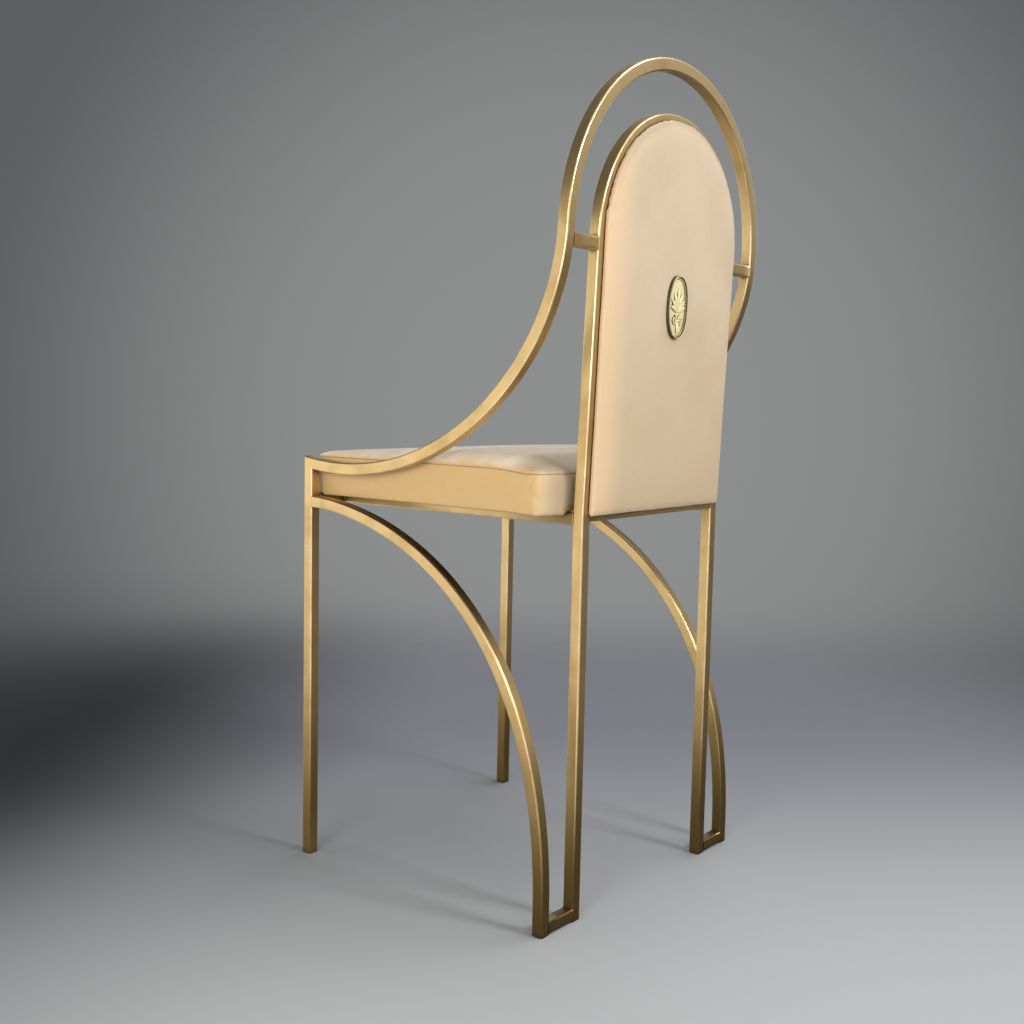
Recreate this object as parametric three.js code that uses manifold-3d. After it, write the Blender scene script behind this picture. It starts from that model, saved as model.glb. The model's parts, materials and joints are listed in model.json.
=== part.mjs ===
// Klismos-style dining chair: a welded frame of slim square brass tube with an upholstered
// seat and an arched upholstered back that carries a cast oval medallion.
// Millimetres, +Z up. +X is the sitter's left and the sitter faces -Y. The origin is on the
// floor, under the middle of the chair's bounding box.

import * as THREE from "three";
import { mergeVertices } from "three/addons/utils/BufferGeometryUtils.js";
import Module from "manifold-3d";

const wasm = await Module();
wasm.setup();

// Tube stock
const TUBE = 14; // side of the square tube
const TUBE_WALL = 1.2;
const TUBE_CORNER = 2.1; // outer corner radius
const WELD_GAP = 0.3; // root gap of the mitred and raked welds
const FIT_GAP = 0.3; // clearance between neighbouring parts that don't touch flat
const TRIM_SHARE = 4; // side of the block that trims a mitred end, of the tube's
const MERGE_TOLERANCE = 1e-4;

// Frame
const SIDE_X = 191.8; // middle of each side frame, from the middle of the chair
const POST_X = 135.8; // middle of each rear post
const LEG_TO_POST = 367.5; // front leg middle to rear post middle
const LEG_TOP = 500.5; // highest point of a front leg, at its mitre
const RAIL_Z = 447.5; // middle of the front and side rails, where the rear posts bend
const REAR_RAIL_RISE = 4; // rear rail above the other three, behind the seat
const BRACE_DROP = 3; // middle of an arc brace under the front rail's, where it leaves the leg
const SPRING_Z = 754; // where the hoop leaves its uprights
const ARCH_DROP = 2.5; // the inner arch springs this much lower, along the rake
const LINK_Z = 739; // middle of the short links between hoop and posts
const RAKE = THREE.MathUtils.degToRad(2.25);

// Side sweep, from the front leg's mitre up to the hoop
const SWEEP_DIP = THREE.MathUtils.degToRad(8.8); // downward slope where it leaves the leg
const SWEEP_LEAD_SHARE = 0.59; // first handle, of the leg-to-post distance
const SWEEP_RISE_SHARE = 0.5625; // second handle, of the sweep's rise
const SWEEP_STEPS = 18;

// Arc brace, from under the sweep down to a foot beside the rear post
const BRACE_STRAIGHT = 31.5; // vertical run above the foot
const BRACE_LEAD_SHARE = 0.13;
const BRACE_RISE_SHARE = 0.933;
const BRACE_STEPS = 16;

// Crowns
const HOOP_STEPS = 30;
const ARCH_STEPS = 24;

// Glides under the six feet
const GLIDE_PAD = 1.2; // thickness under the tube
const GLIDE_INSET = 0.8; // pad's edge inside the tube's face
const GLIDE_STEM = 10; // length inside the tube

// Seat
const SEAT_SIDE_GAP = 2; // cushion to side frame
const SEAT_FRONT_OVERHANG = 8; // ahead of the front legs
const SEAT_REAR_GAP = 3.6; // cushion to the front of the rear posts
const SEAT_REAR_CLIP = 16; // how far the rear corners stand forward of the rear edge
const SEAT_CLIP_SIDE = 2; // where the clipped corner starts, beyond the post's outer face
const SEAT_FRONT_ROUND = 20;
const SEAT_REAR_ROUND = 9;
const SEAT_CLIP_ROUND = 16;
const SEAT_HEIGHT = 45; // underside to shoulder
const SEAT_CROWN = 15; // rise of the top above its shoulder
const SEAT_REAR_CROWN_SHARE = 0.5; // of the crown, where the front pad comes down to it
const SEAT_CROWN_RUN = 112; // edge to the flat of the crown
const SEAT_EDGE_ROUND = 5;
const SEAT_DRAW_IN = 3;
const SEAT_HEM = 24;
const SEAT_BOARD = 12;
const SEAT_ROUND_GROWTH_SHARE = 0.35;
const SEAT_FRONT_SEGMENTS = 4;
const SEAT_REAR_SEGMENTS = 3;

// Upholstery
const LEATHER = 1.2;
const CROWN_RING_SHARES = [1, 0.68, 0.42, 0.22, 0.08];
const CROWN_POWER = 2.2;
const SIDE_RING_SHARES = [0.6, 0.25, 0];
const EDGE_SEGMENTS = 2;
const CORNER_LEAST_SHARE = 0.1; // smallest corner radius, of the drawn one

// Back pads
const PAD_HEM = 12;
const PAD_ROUND_GROWTH_SHARE = 0.5;
const PAD_FOOT_SEGMENTS = 2;
const PAD_HEAD_SEGMENTS = 10;
const REAR_PAD_LAP = 7.2; // rear pad over the posts and the arch
const REAR_PAD_BOTTOM_LAP = 8.4; // rear pad over the rear rail
const REAR_PAD_BOTTOM_ROUND = 2;
const REAR_PAD_HEIGHT = 7; // underside to shoulder
const REAR_PAD_CROWN = 1.6;
const REAR_PAD_CROWN_RUN = 64;
const REAR_PAD_EDGE_ROUND = 3.6;
const REAR_PANEL = 2.5;
const FRONT_PAD_FIT = 0.8; // front pad to the tubes around it
const FRONT_PAD_BOTTOM_ROUND = 7;
const FRONT_PAD_PROUD = 8; // shoulder ahead of the tube's front face
const FRONT_PAD_CROWN = 3.6;
const FRONT_PAD_CROWN_RUN = 64;
const FRONT_PAD_EDGE_ROUND = 6.5;
const FRONT_PAD_SEAT_GAP = 4; // front pad above the cushion's shoulder
const BACK_BOARD = 8;
const PAD_DRAW_IN = 0.6;

// Seat tabs and their screws
const TAB_LENGTH = 26;
const TAB_WIDTH = 20;
const TAB_THICKNESS = 3;
const TAB_FROM_RAIL_END = 52; // tab middle from the end of its side rail
const TAB_HOLE_EDGE = 9; // hole centre from the tab's free end
const SCREW_RADIUS = 2;
const SCREW_HEAD_RADIUS = 4;
const SCREW_HEAD = 2.2;
const SCREW_HEAD_FLAT_SHARE = 0.7; // flat of the head, of its radius
const SEAT_SCREW_LENGTH = 12;
const SCREW_SIDES = 10;

// Lugs that hold the back board
const LUG_LENGTH = 26;
const LUG_WIDTH = 16;
const LUG_THICKNESS = 2;
const LUG_HOLE_EDGE = 7;
const BACK_SCREW_LENGTH = 9;
const LOWER_LUG_RISE = 48.5; // lug middle over the front pad's lower edge
const UPPER_LUG_DROP = 36; // lug middle under the springing of the inner arch

// Push clips between the rear panel and the back board
const CLIP_X = 58;
const LOWER_CLIP_RISE = 88.5; // over the front pad's lower edge
const UPPER_CLIP_RISE = 38; // over the springing of the inner arch
const CLIP_RADIUS = 3;
const CLIP_HEAD_RADIUS = 7;
const CLIP_HEAD = 1.5;
const CLIP_END_GAP = 1.5; // clip's tip to the front of the back board
const CLIP_SIDES = 12;

// Medallion
const MEDALLION_DROP = 69; // middle under the springing of the inner arch
const MEDALLION_WIDTH = 39.5;
const MEDALLION_HEIGHT = 71;
const MEDALLION_OVAL_POWER = 0.88; // 1 is an ellipse, and less is fuller
const MEDALLION_PLATE = 3.4;
const MEDALLION_RIM = 1.6; // height of the rim over the plate
const MEDALLION_RIM_WIDTH = 3.4;
const MEDALLION_RIM_SLOPE = 0.8;
const MEDALLION_SEGMENTS = 18;
const LEAF_COUNT = 7;
const LEAF_SPREAD = THREE.MathUtils.degToRad(116);
const LEAF_LENGTH = 27; // middle leaf, from the root
const LEAF_SIDE_SHARE = 0.62; // length of the outermost leaf, of the middle one
const LEAF_WIDTH = 5.4;
const LEAF_HEIGHT = 1.9;
const LEAF_ROOT_DROP = 5.5; // root of the leaves under the plate's middle
const LEAF_SIDES = 8;
const LEAF_RINGS = 6;
const VOLUTE_RADIUS = 4.6;
const VOLUTE_WIRE = 1.25;
const VOLUTE_SIDES = 6;
const VOLUTE_STEPS = 14;
const VOLUTE_X = 6;
const VOLUTE_DROP = 14.5;
const BUD_LENGTH = 12.5;
const BUD_WIDTH = 6.5;
const BUD_DROP = 22.5;
const STUD_RADIUS = 1.5;
const STUD_SPACING = 40;
const STUD_NUT_RADIUS = 3.6;
const STUD_NUT = 2.4;
const NUT_SEGMENTS = 3;
const STUD_OVERRUN = 0.8; // stud past its nut

// Values that follow from the ones above
const HALF = TUBE / 2;
const BORE_HALF = HALF - TUBE_WALL;
const TRIM_REACH = TRIM_SHARE * TUBE;
const LEG_Y = -LEG_TO_POST;
const BRACE_Z = RAIL_Z - BRACE_DROP;
const RAIL_TOP = RAIL_Z + HALF;
const SPRING_RUN = (SPRING_Z - RAIL_Z) / Math.cos(RAKE); // rail to springing, up the rake
const ARCH_RUN = SPRING_RUN - ARCH_DROP;
const LINK_RUN = (LINK_Z - RAIL_Z) / Math.cos(RAKE);
const UP = new THREE.Vector3(0, 0, 1);
const REARWARD = new THREE.Vector3(0, 1, 0);
const UP_RAKE = new THREE.Vector3(0, Math.sin(RAKE), Math.cos(RAKE));
const HANDS = [
  { hand: "left", side: 1 },
  { hand: "right", side: -1 },
];

const brass = new THREE.MeshStandardMaterial({ color: 0xd8b26a, roughness: 0.28, metalness: 1 });
const castBrass = new THREE.MeshStandardMaterial({ color: 0xc9a45c, roughness: 0.36, metalness: 1 });
const leather = new THREE.MeshStandardMaterial({ color: 0xd9c3a2, roughness: 0.55, metalness: 0 });
const foam = new THREE.MeshStandardMaterial({ color: 0xe9e2cf, roughness: 0.95, metalness: 0 });
const plywood = new THREE.MeshStandardMaterial({ color: 0xc79f6b, roughness: 0.8, metalness: 0 });
const blackCloth = new THREE.MeshStandardMaterial({ color: 0x1d1c1b, roughness: 0.95, metalness: 0 });
const blackPlastic = new THREE.MeshStandardMaterial({ color: 0x232220, roughness: 0.6, metalness: 0 });
const zincSteel = new THREE.MeshStandardMaterial({ color: 0xb9bcbd, roughness: 0.4, metalness: 1 });

const chair = new THREE.Group();
const raked = new THREE.Group(); // back plane: its Z runs up the rake from the rails
raked.position.set(0, 0, RAIL_Z);
raked.rotation.x = -RAKE;
chair.add(raked);

/** Adds a named mesh to a group and gives the mesh back. */
function add(group, name, geometry, material) {
  const mesh = new THREE.Mesh(geometry, material);
  mesh.name = name;
  group.add(mesh);
  return mesh;
}

/** Places on both sides of the middle for each of the rows { row, y }, with a label each. */
function placesOn(x, rows) {
  return HANDS.flatMap(({ hand, side }) =>
    rows.map(({ row, y }) => ({ label: `${row}_${hand}`, x: side * x, y })));
}

/** A path with one ring of the tube at each of its points. */
class Stations extends THREE.Curve {
  constructor(points, tangents) {
    super();
    this.points = points;
    this.tangents = tangents;
    this.steps = points.length - 1;
  }

  getPoint(t, target = new THREE.Vector3()) {
    return target.copy(this.points[Math.round(t * this.steps)]);
  }

  getPointAt(u, target) {
    return this.getPoint(u, target);
  }

  getTangentAt(u, target = new THREE.Vector3()) {
    return target.copy(this.tangents[Math.round(u * this.steps)]);
  }
}

/** The tube's section: a rounded square with a square bore. */
function tubeSection() {
  const flat = HALF - TUBE_CORNER;
  const quarter = Math.PI / 2;
  const section = new THREE.Shape();
  section.absarc(flat, flat, TUBE_CORNER, 0, quarter);
  section.absarc(-flat, flat, TUBE_CORNER, quarter, 2 * quarter);
  section.absarc(-flat, -flat, TUBE_CORNER, 2 * quarter, 3 * quarter);
  section.absarc(flat, -flat, TUBE_CORNER, 3 * quarter, 4 * quarter);
  section.closePath();
  const bore = new THREE.Path();
  bore.moveTo(-BORE_HALF, -BORE_HALF);
  bore.lineTo(-BORE_HALF, BORE_HALF);
  bore.lineTo(BORE_HALF, BORE_HALF);
  bore.lineTo(BORE_HALF, -BORE_HALF);
  bore.closePath();
  section.holes.push(bore);
  return section;
}

/** Square tube with its ends square to the first and last tangents. */
function tube(points, tangents) {
  const path = new Stations(points, tangents);
  return new THREE.ExtrudeGeometry(tubeSection(), {
    steps: path.steps,
    extrudePath: path,
    curveSegments: 1,
    bevelEnabled: false,
  });
}

/** Straight square tube between two points. */
function straightTube(from, to) {
  const along = to.clone().sub(from).normalize();
  return tube([from, to], [along, along]);
}

/** Evenly spaced points and tangents of a curve, its first and last ones included. */
function sampled(curve, steps) {
  const points = [];
  const tangents = [];
  for (let i = 0; i <= steps; i += 1) {
    points.push(curve.getPointAt(i / steps));
    tangents.push(curve.getTangentAt(i / steps));
  }
  return { points, tangents };
}

/** Half circle of tube in the raked plane, over its springing line. */
function crownTube(radius, springing, steps) {
  const points = [];
  const tangents = [];
  for (let i = 0; i <= steps; i += 1) {
    const angle = (Math.PI * i) / steps;
    const height = springing + radius * Math.sin(angle);
    points.push(new THREE.Vector3(radius * Math.cos(angle), 0, height));
    tangents.push(new THREE.Vector3(-Math.sin(angle), 0, Math.cos(angle)));
  }
  return tube(points, tangents);
}

/** A geometry as a manifold solid. */
function toSolid(geometry) {
  const bare = geometry.clone();
  bare.deleteAttribute("normal");
  bare.deleteAttribute("uv");
  const merged = mergeVertices(bare, MERGE_TOLERANCE);
  return new wasm.Manifold(
    new wasm.Mesh({
      numProp: 3,
      vertProperties: merged.getAttribute("position").array,
      triVerts: Uint32Array.from(merged.getIndex().array),
    }),
  );
}

/** A manifold solid as a geometry. */
function toGeometry(solid) {
  const mesh = solid.getMesh();
  const geometry = new THREE.BufferGeometry();
  geometry.setAttribute("position", new THREE.BufferAttribute(Float32Array.from(mesh.vertProperties), 3));
  geometry.setIndex(Array.from(mesh.triVerts));
  geometry.computeVertexNormals();
  return geometry;
}

/** What is left of a geometry on the far side of a plane through a point, along its normal. */
function trimmed(geometry, point, normal) {
  const block = new THREE.BoxGeometry(TRIM_REACH, TRIM_REACH, TRIM_REACH);
  block.translate(0, 0, -TRIM_REACH / 2);
  block.applyQuaternion(new THREE.Quaternion().setFromUnitVectors(UP, normal));
  block.translate(point.x, point.y, point.z);
  return toGeometry(toSolid(geometry).subtract(toSolid(block)));
}

/** A geometry with round holes bored through it along its Z, on its middle line. */
function bored(geometry, places, radius, from, to) {
  let solid = toSolid(geometry);
  for (const { y } of places) {
    const drill = new THREE.CylinderGeometry(radius, radius, to - from, SCREW_SIDES);
    drill.rotateX(Math.PI / 2);
    drill.translate(0, y, (from + to) / 2);
    solid = solid.subtract(toSolid(drill));
  }
  return toGeometry(solid);
}

/** Flat plate that reaches inward from a root on one side, with a hole, standing on zero. */
function drilledPlate(side, root, middle, holeX, { length, width, thickness }) {
  const [low, high] = [side * root, side * (root - length)].sort((a, b) => a - b);
  const plate = new THREE.Shape();
  plate.moveTo(low, middle - width / 2);
  plate.lineTo(high, middle - width / 2);
  plate.lineTo(high, middle + width / 2);
  plate.lineTo(low, middle + width / 2);
  plate.closePath();
  const hole = new THREE.Path();
  hole.absarc(side * holeX, middle, SCREW_RADIUS + FIT_GAP, 0, 2 * Math.PI, true);
  plate.holes.push(hole);
  return new THREE.ExtrudeGeometry(plate, {
    depth: thickness,
    curveSegments: SCREW_SIDES / 2,
    bevelEnabled: false,
  });
}

/** Turned piece about Z from its half profile, a list of [radius, height] from bottom to top. */
function turned(profile, sides) {
  const points = profile.map(([radius, height]) => new THREE.Vector2(radius, height));
  const geometry = new THREE.LatheGeometry(points, sides);
  geometry.rotateX(Math.PI / 2);
  return geometry;
}

/** Pan-head screw about Z: the head's seat is at zero and the shank runs up. */
function screw(length) {
  return turned(
    [
      [0, -SCREW_HEAD],
      [SCREW_HEAD_RADIUS * SCREW_HEAD_FLAT_SHARE, -SCREW_HEAD],
      [SCREW_HEAD_RADIUS, -SCREW_HEAD / 2],
      [SCREW_HEAD_RADIUS, 0],
      [SCREW_RADIUS, 0],
      [SCREW_RADIUS, length - SCREW_RADIUS],
      [0, length],
    ],
    SCREW_SIDES,
  );
}

/**
 * Outline of a convex shape with rounded corners, drawn in by an inset.
 * A corner is { x, y, round, growth, segments, next }: its radius grows by growth times the
 * inset, and the straight side after it has next extra points.
 */
function outline(corners, inset) {
  const count = corners.length;
  const points = [];
  const inward = corners.map((corner, i) => {
    const next = corners[(i + 1) % count];
    const along = new THREE.Vector2(next.x - corner.x, next.y - corner.y).normalize();
    return along.rotateAround(new THREE.Vector2(), Math.PI / 2);
  });
  const arcs = corners.map((corner, i) => {
    const before = inward[(i + count - 1) % count];
    const after = inward[i];
    const diagonal = before.clone().add(after).divideScalar(1 + before.dot(after));
    const least = corner.round * CORNER_LEAST_SHARE;
    const radius = Math.max(corner.round + corner.growth * inset, least);
    const centre = new THREE.Vector2(corner.x, corner.y).addScaledVector(diagonal, inset + radius);
    const turn = Math.acos(THREE.MathUtils.clamp(before.dot(after), -1, 1));
    const arc = [];
    for (let k = 0; k <= corner.segments; k += 1) {
      const spoke = before.clone().multiplyScalar(-radius);
      spoke.rotateAround(new THREE.Vector2(), (turn * k) / corner.segments);
      arc.push(spoke.add(centre));
    }
    return arc;
  });
  arcs.forEach((arc, i) => {
    points.push(...arc);
    const start = arc[arc.length - 1];
    const end = arcs[(i + 1) % count][0];
    for (let k = 1; k <= corners[i].next; k += 1) {
      points.push(start.clone().lerp(end, k / (corners[i].next + 1)));
    }
  });
  return points;
}

/** The same outline with no extra points on its straight sides. */
function plainOutline(corners, inset) {
  return outline(corners.map((corner) => ({ ...corner, next: 0 })), inset);
}

/** Closed solid through convex rings of equal length, from the top one down, capped by fans. */
function loft(rings) {
  const count = rings[0].points.length;
  const positions = [];
  const index = [];
  for (const ring of rings) {
    for (const point of ring.points) {
      positions.push(point.x, point.y, ring.height);
    }
  }
  for (let r = 0; r < rings.length - 1; r += 1) {
    for (let i = 0; i < count; i += 1) {
      const a = r * count + i;
      const b = r * count + ((i + 1) % count);
      index.push(a, a + count, b, b, a + count, b + count);
    }
  }
  const last = rings.length - 1;
  for (const [r, facing] of [[0, 1], [last, -1]]) {
    const centre = new THREE.Vector2();
    rings[r].points.forEach((point) => centre.addScaledVector(point, 1 / count));
    const hub = positions.length / 3;
    positions.push(centre.x, centre.y, rings[r].height);
    for (let i = 0; i < count; i += 1) {
      const a = r * count + i;
      const b = r * count + ((i + 1) % count);
      index.push(hub, facing > 0 ? a : b, facing > 0 ? b : a);
    }
  }
  const geometry = new THREE.BufferGeometry();
  geometry.setAttribute("position", new THREE.Float32BufferAttribute(positions, 3));
  geometry.setIndex(index);
  geometry.computeVertexNormals();
  return geometry;
}

/**
 * Rows of a padded form, from its crown down its side, skin below its face. A row is
 * [inset, height, shrink]: the outline is drawn in by the inset, then shrunk to its middle.
 */
function paddedProfile(pad, skin) {
  const rows = [];
  const shoulder = pad.height - pad.edgeRound;
  const halfWidth = Math.max(...pad.corners.map(({ x }) => x));
  const crownShrink = (pad.crownRun - pad.edgeRound) / (halfWidth - pad.edgeRound);
  for (const share of CROWN_RING_SHARES) {
    const rise = pad.crown * (1 - (1 - share) ** CROWN_POWER);
    rows.push([pad.edgeRound, pad.height + rise - skin, share * crownShrink]);
  }
  for (let k = EDGE_SEGMENTS; k >= 0; k -= 1) {
    const angle = (k / EDGE_SEGMENTS) * (Math.PI / 2);
    const radius = pad.edgeRound - skin;
    rows.push([pad.edgeRound - radius * Math.cos(angle), shoulder + radius * Math.sin(angle), 0]);
  }
  for (const share of SIDE_RING_SHARES) {
    rows.push([skin + pad.drawIn * (1 - share) ** 2, shoulder * share, 0]);
  }
  return rows;
}

/** Rings of a pad's outline for rows of [inset, height, shrink]. */
function ringsFor(pad, rows) {
  const depths = pad.corners.map(({ y }) => y);
  const middle = new THREE.Vector2(0, (Math.min(...depths) + Math.max(...depths)) / 2);
  return rows.map(([inset, height, shrink]) => ({
    points: outline(pad.corners, inset).map((point) => point.lerp(middle, shrink)),
    height,
  }));
}

/** The leather cover of a pad, turned under it to a hem; zero height is the hem's underside. */
function coverOf(pad) {
  const outer = paddedProfile(pad, 0);
  const inner = paddedProfile(pad, LEATHER);
  inner[inner.length - 1][1] = LEATHER;
  const hem = [
    [pad.hem, 0, 0],
    [pad.hem, LEATHER, 0],
  ];
  return loft(ringsFor(pad, [...outer, ...hem, ...inner.reverse()]));
}

/** The foam inside a pad's cover, down to the top of its board. */
function foamOf(pad) {
  const floor = LEATHER + FIT_GAP + pad.board + FIT_GAP;
  const profile = paddedProfile(pad, LEATHER + FIT_GAP);
  const below = profile.findIndex(([, height]) => height <= floor);
  const [upperInset, upperHeight] = profile[below - 1];
  const [lowerInset, lowerHeight] = profile[below];
  const share = (upperHeight - floor) / (upperHeight - lowerHeight);
  const rows = profile.slice(0, below);
  rows.push([THREE.MathUtils.lerp(upperInset, lowerInset, share), floor, 0]);
  return loft(ringsFor(pad, rows));
}

/** The flat board inside a pad's cover, with round holes. */
function boardOf(pad, holes) {
  const board = new THREE.Shape(plainOutline(pad.corners, LEATHER + FIT_GAP + pad.drawIn));
  for (const { x, y, radius } of holes) {
    const hole = new THREE.Path();
    hole.absarc(x, y, radius, 0, 2 * Math.PI, true);
    board.holes.push(hole);
  }
  const sheet = new THREE.ExtrudeGeometry(board, {
    depth: pad.board,
    curveSegments: SCREW_SIDES / 2,
    bevelEnabled: false,
  });
  sheet.translate(0, 0, LEATHER + FIT_GAP);
  return sheet;
}

/** Corners of an arch-topped outline over the inner arch's springing, from its bottom up. */
function archCorners(halfWidth, bottom, bottomRound) {
  const top = ARCH_RUN + halfWidth;
  const foot = {
    round: bottomRound,
    growth: PAD_ROUND_GROWTH_SHARE,
    segments: PAD_FOOT_SEGMENTS,
    next: 1,
  };
  const head = { round: halfWidth, growth: -1, segments: PAD_HEAD_SEGMENTS };
  return [
    { x: halfWidth, y: bottom, ...foot },
    { x: halfWidth, y: top, ...head, next: 0 },
    { x: -halfWidth, y: top, ...head, next: 1 },
    { x: -halfWidth, y: bottom, ...foot },
  ];
}

// Front legs and side sweeps, mitred together
const mitreDrop = HALF / Math.cos(SWEEP_DIP) + HALF * Math.tan(SWEEP_DIP);
const sweepStart = new THREE.Vector3(0, LEG_Y, LEG_TOP - mitreDrop);
const sweepEnd = new THREE.Vector3(0, 0, RAIL_Z).addScaledVector(UP_RAKE, SPRING_RUN - WELD_GAP);
const dipDirection = new THREE.Vector3(0, Math.cos(SWEEP_DIP), -Math.sin(SWEEP_DIP));
const mitreNormal = UP.clone().add(dipDirection).normalize();
const sweepLead = SWEEP_LEAD_SHARE * LEG_TO_POST;
const sweepRise = SWEEP_RISE_SHARE * (sweepEnd.z - sweepStart.z);

function frontLeg(x) {
  const foot = new THREE.Vector3(x, LEG_Y, GLIDE_PAD);
  const head = new THREE.Vector3(x, LEG_Y, LEG_TOP + TUBE);
  const mitre = sweepStart.clone().setX(x).addScaledVector(mitreNormal, -WELD_GAP / 2);
  return trimmed(straightTube(foot, head), mitre, mitreNormal.clone().negate());
}

function sweep(x) {
  const start = sweepStart.clone().setX(x);
  const end = sweepEnd.clone().setX(x);
  const curve = new THREE.CubicBezierCurve3(
    start,
    start.clone().addScaledVector(dipDirection, sweepLead),
    end.clone().addScaledVector(UP_RAKE, -sweepRise),
    end,
  );
  const { points, tangents } = sampled(curve, SWEEP_STEPS);
  points.unshift(start.clone().addScaledVector(dipDirection, -TUBE));
  tangents.unshift(dipDirection);
  const mitre = start.clone().addScaledVector(mitreNormal, WELD_GAP / 2);
  return trimmed(tube(points, tangents), mitre, mitreNormal);
}

// Arc brace: level where it butts on the front leg, upright where it stands on the floor
function arcBrace(x) {
  const start = new THREE.Vector3(x, LEG_Y + HALF, BRACE_Z);
  const ankle = new THREE.Vector3(x, 0, BRACE_STRAIGHT);
  const lead = BRACE_LEAD_SHARE * LEG_TO_POST;
  const rise = BRACE_RISE_SHARE * (BRACE_Z - BRACE_STRAIGHT);
  const curve = new THREE.CubicBezierCurve3(
    start,
    start.clone().addScaledVector(REARWARD, lead),
    ankle.clone().addScaledVector(UP, rise),
    ankle,
  );
  const { points, tangents } = sampled(curve, BRACE_STEPS);
  points.push(new THREE.Vector3(x, 0, GLIDE_PAD));
  tangents.push(UP.clone().negate());
  return tube(points, tangents);
}

// Rear post: upright to the rails, then up the rake to the springing of the arch
function rearPost(x) {
  const foot = new THREE.Vector3(x, 0, GLIDE_PAD);
  const bend = new THREE.Vector3(x, 0, RAIL_Z);
  const head = bend.clone().addScaledVector(UP_RAKE, ARCH_RUN - WELD_GAP);
  return tube([foot, bend, head], [UP, UP.clone().add(UP_RAKE).normalize(), UP_RAKE]);
}

// Glide: a pad against the tube's end, with a square stem up its bore
function glide(x, y) {
  const square = (half) => [
    new THREE.Vector2(-half, -half),
    new THREE.Vector2(half, -half),
    new THREE.Vector2(half, half),
    new THREE.Vector2(-half, half),
  ];
  const stem = square(BORE_HALF - FIT_GAP);
  const pad = square(HALF - GLIDE_INSET);
  const geometry = loft([
    { points: stem, height: GLIDE_PAD + GLIDE_STEM },
    { points: stem, height: GLIDE_PAD },
    { points: pad, height: GLIDE_PAD },
    { points: pad, height: 0 },
  ]);
  geometry.translate(x, y, 0);
  return geometry;
}

for (const { hand, side } of HANDS) {
  const sideX = side * SIDE_X;
  const postX = side * POST_X;
  add(chair, `front_leg_${hand}`, frontLeg(sideX), brass);
  add(chair, `sweep_${hand}`, sweep(sideX), brass);
  add(chair, `arc_brace_${hand}`, arcBrace(sideX), brass);
  add(chair, `rear_post_${hand}`, rearPost(postX), brass);
  const linkFrom = side * (POST_X + HALF);
  const linkTo = side * (SIDE_X - HALF);
  const footLinkZ = GLIDE_PAD + HALF;
  const footLink = straightTube(
    new THREE.Vector3(linkFrom, 0, footLinkZ),
    new THREE.Vector3(linkTo, 0, footLinkZ),
  );
  add(chair, `foot_link_${hand}`, footLink, brass);
  const backLink = straightTube(
    new THREE.Vector3(linkFrom, 0, LINK_RUN),
    new THREE.Vector3(linkTo, 0, LINK_RUN),
  );
  add(raked, `back_link_${hand}`, backLink, brass);
  const sideRail = straightTube(
    new THREE.Vector3(postX, LEG_Y + HALF, RAIL_Z),
    new THREE.Vector3(postX, -HALF, RAIL_Z),
  );
  add(chair, `side_rail_${hand}`, sideRail, brass);
  add(chair, `glide_front_${hand}`, glide(sideX, LEG_Y), blackPlastic);
  add(chair, `glide_brace_${hand}`, glide(sideX, 0), blackPlastic);
  add(chair, `glide_post_${hand}`, glide(postX, 0), blackPlastic);
}

const frontRail = straightTube(
  new THREE.Vector3(HALF - SIDE_X, LEG_Y, RAIL_Z),
  new THREE.Vector3(SIDE_X - HALF, LEG_Y, RAIL_Z),
);
add(chair, "front_rail", frontRail, brass);
const rearRail = straightTube(
  new THREE.Vector3(HALF - POST_X, 0, RAIL_Z + REAR_RAIL_RISE),
  new THREE.Vector3(POST_X - HALF, 0, RAIL_Z + REAR_RAIL_RISE),
);
add(chair, "rear_rail", rearRail, brass);
add(raked, "hoop_crown", crownTube(SIDE_X, SPRING_RUN, HOOP_STEPS), brass);
add(raked, "arch_crown", crownTube(POST_X, ARCH_RUN, ARCH_STEPS), brass);

// Seat: plywood board, foam and leather cover on the rails, closed below by a dust cover
const seatHalf = SIDE_X - HALF - SEAT_SIDE_GAP;
const seatFront = LEG_Y - HALF - SEAT_FRONT_OVERHANG;
const seatRear = -HALF - SEAT_REAR_GAP;
const clipX = POST_X + HALF + SEAT_CLIP_SIDE;
const seatCorner = (round, segments) => ({ round, growth: SEAT_ROUND_GROWTH_SHARE, segments });
const seatFrontCorner = seatCorner(SEAT_FRONT_ROUND, SEAT_FRONT_SEGMENTS);
const seatRearCorner = seatCorner(SEAT_REAR_ROUND, SEAT_REAR_SEGMENTS);
const seatClipCorner = seatCorner(SEAT_CLIP_ROUND, 1);
const seat = {
  corners: [
    { x: seatHalf, y: seatFront, ...seatFrontCorner, next: 2 },
    { x: seatHalf, y: seatRear - SEAT_REAR_CLIP, ...seatRearCorner, next: 0 },
    { x: clipX, y: seatRear, ...seatClipCorner, next: 2 },
    { x: -clipX, y: seatRear, ...seatClipCorner, next: 0 },
    { x: -seatHalf, y: seatRear - SEAT_REAR_CLIP, ...seatRearCorner, next: 2 },
    { x: -seatHalf, y: seatFront, ...seatFrontCorner, next: 2 },
  ],
  height: SEAT_HEIGHT,
  crown: SEAT_CROWN,
  crownRun: SEAT_CROWN_RUN,
  edgeRound: SEAT_EDGE_ROUND,
  drawIn: SEAT_DRAW_IN,
  hem: SEAT_HEM,
  board: SEAT_BOARD,
};
const seatGroup = new THREE.Group();
seatGroup.position.z = RAIL_TOP + FIT_GAP;
chair.add(seatGroup);

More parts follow.
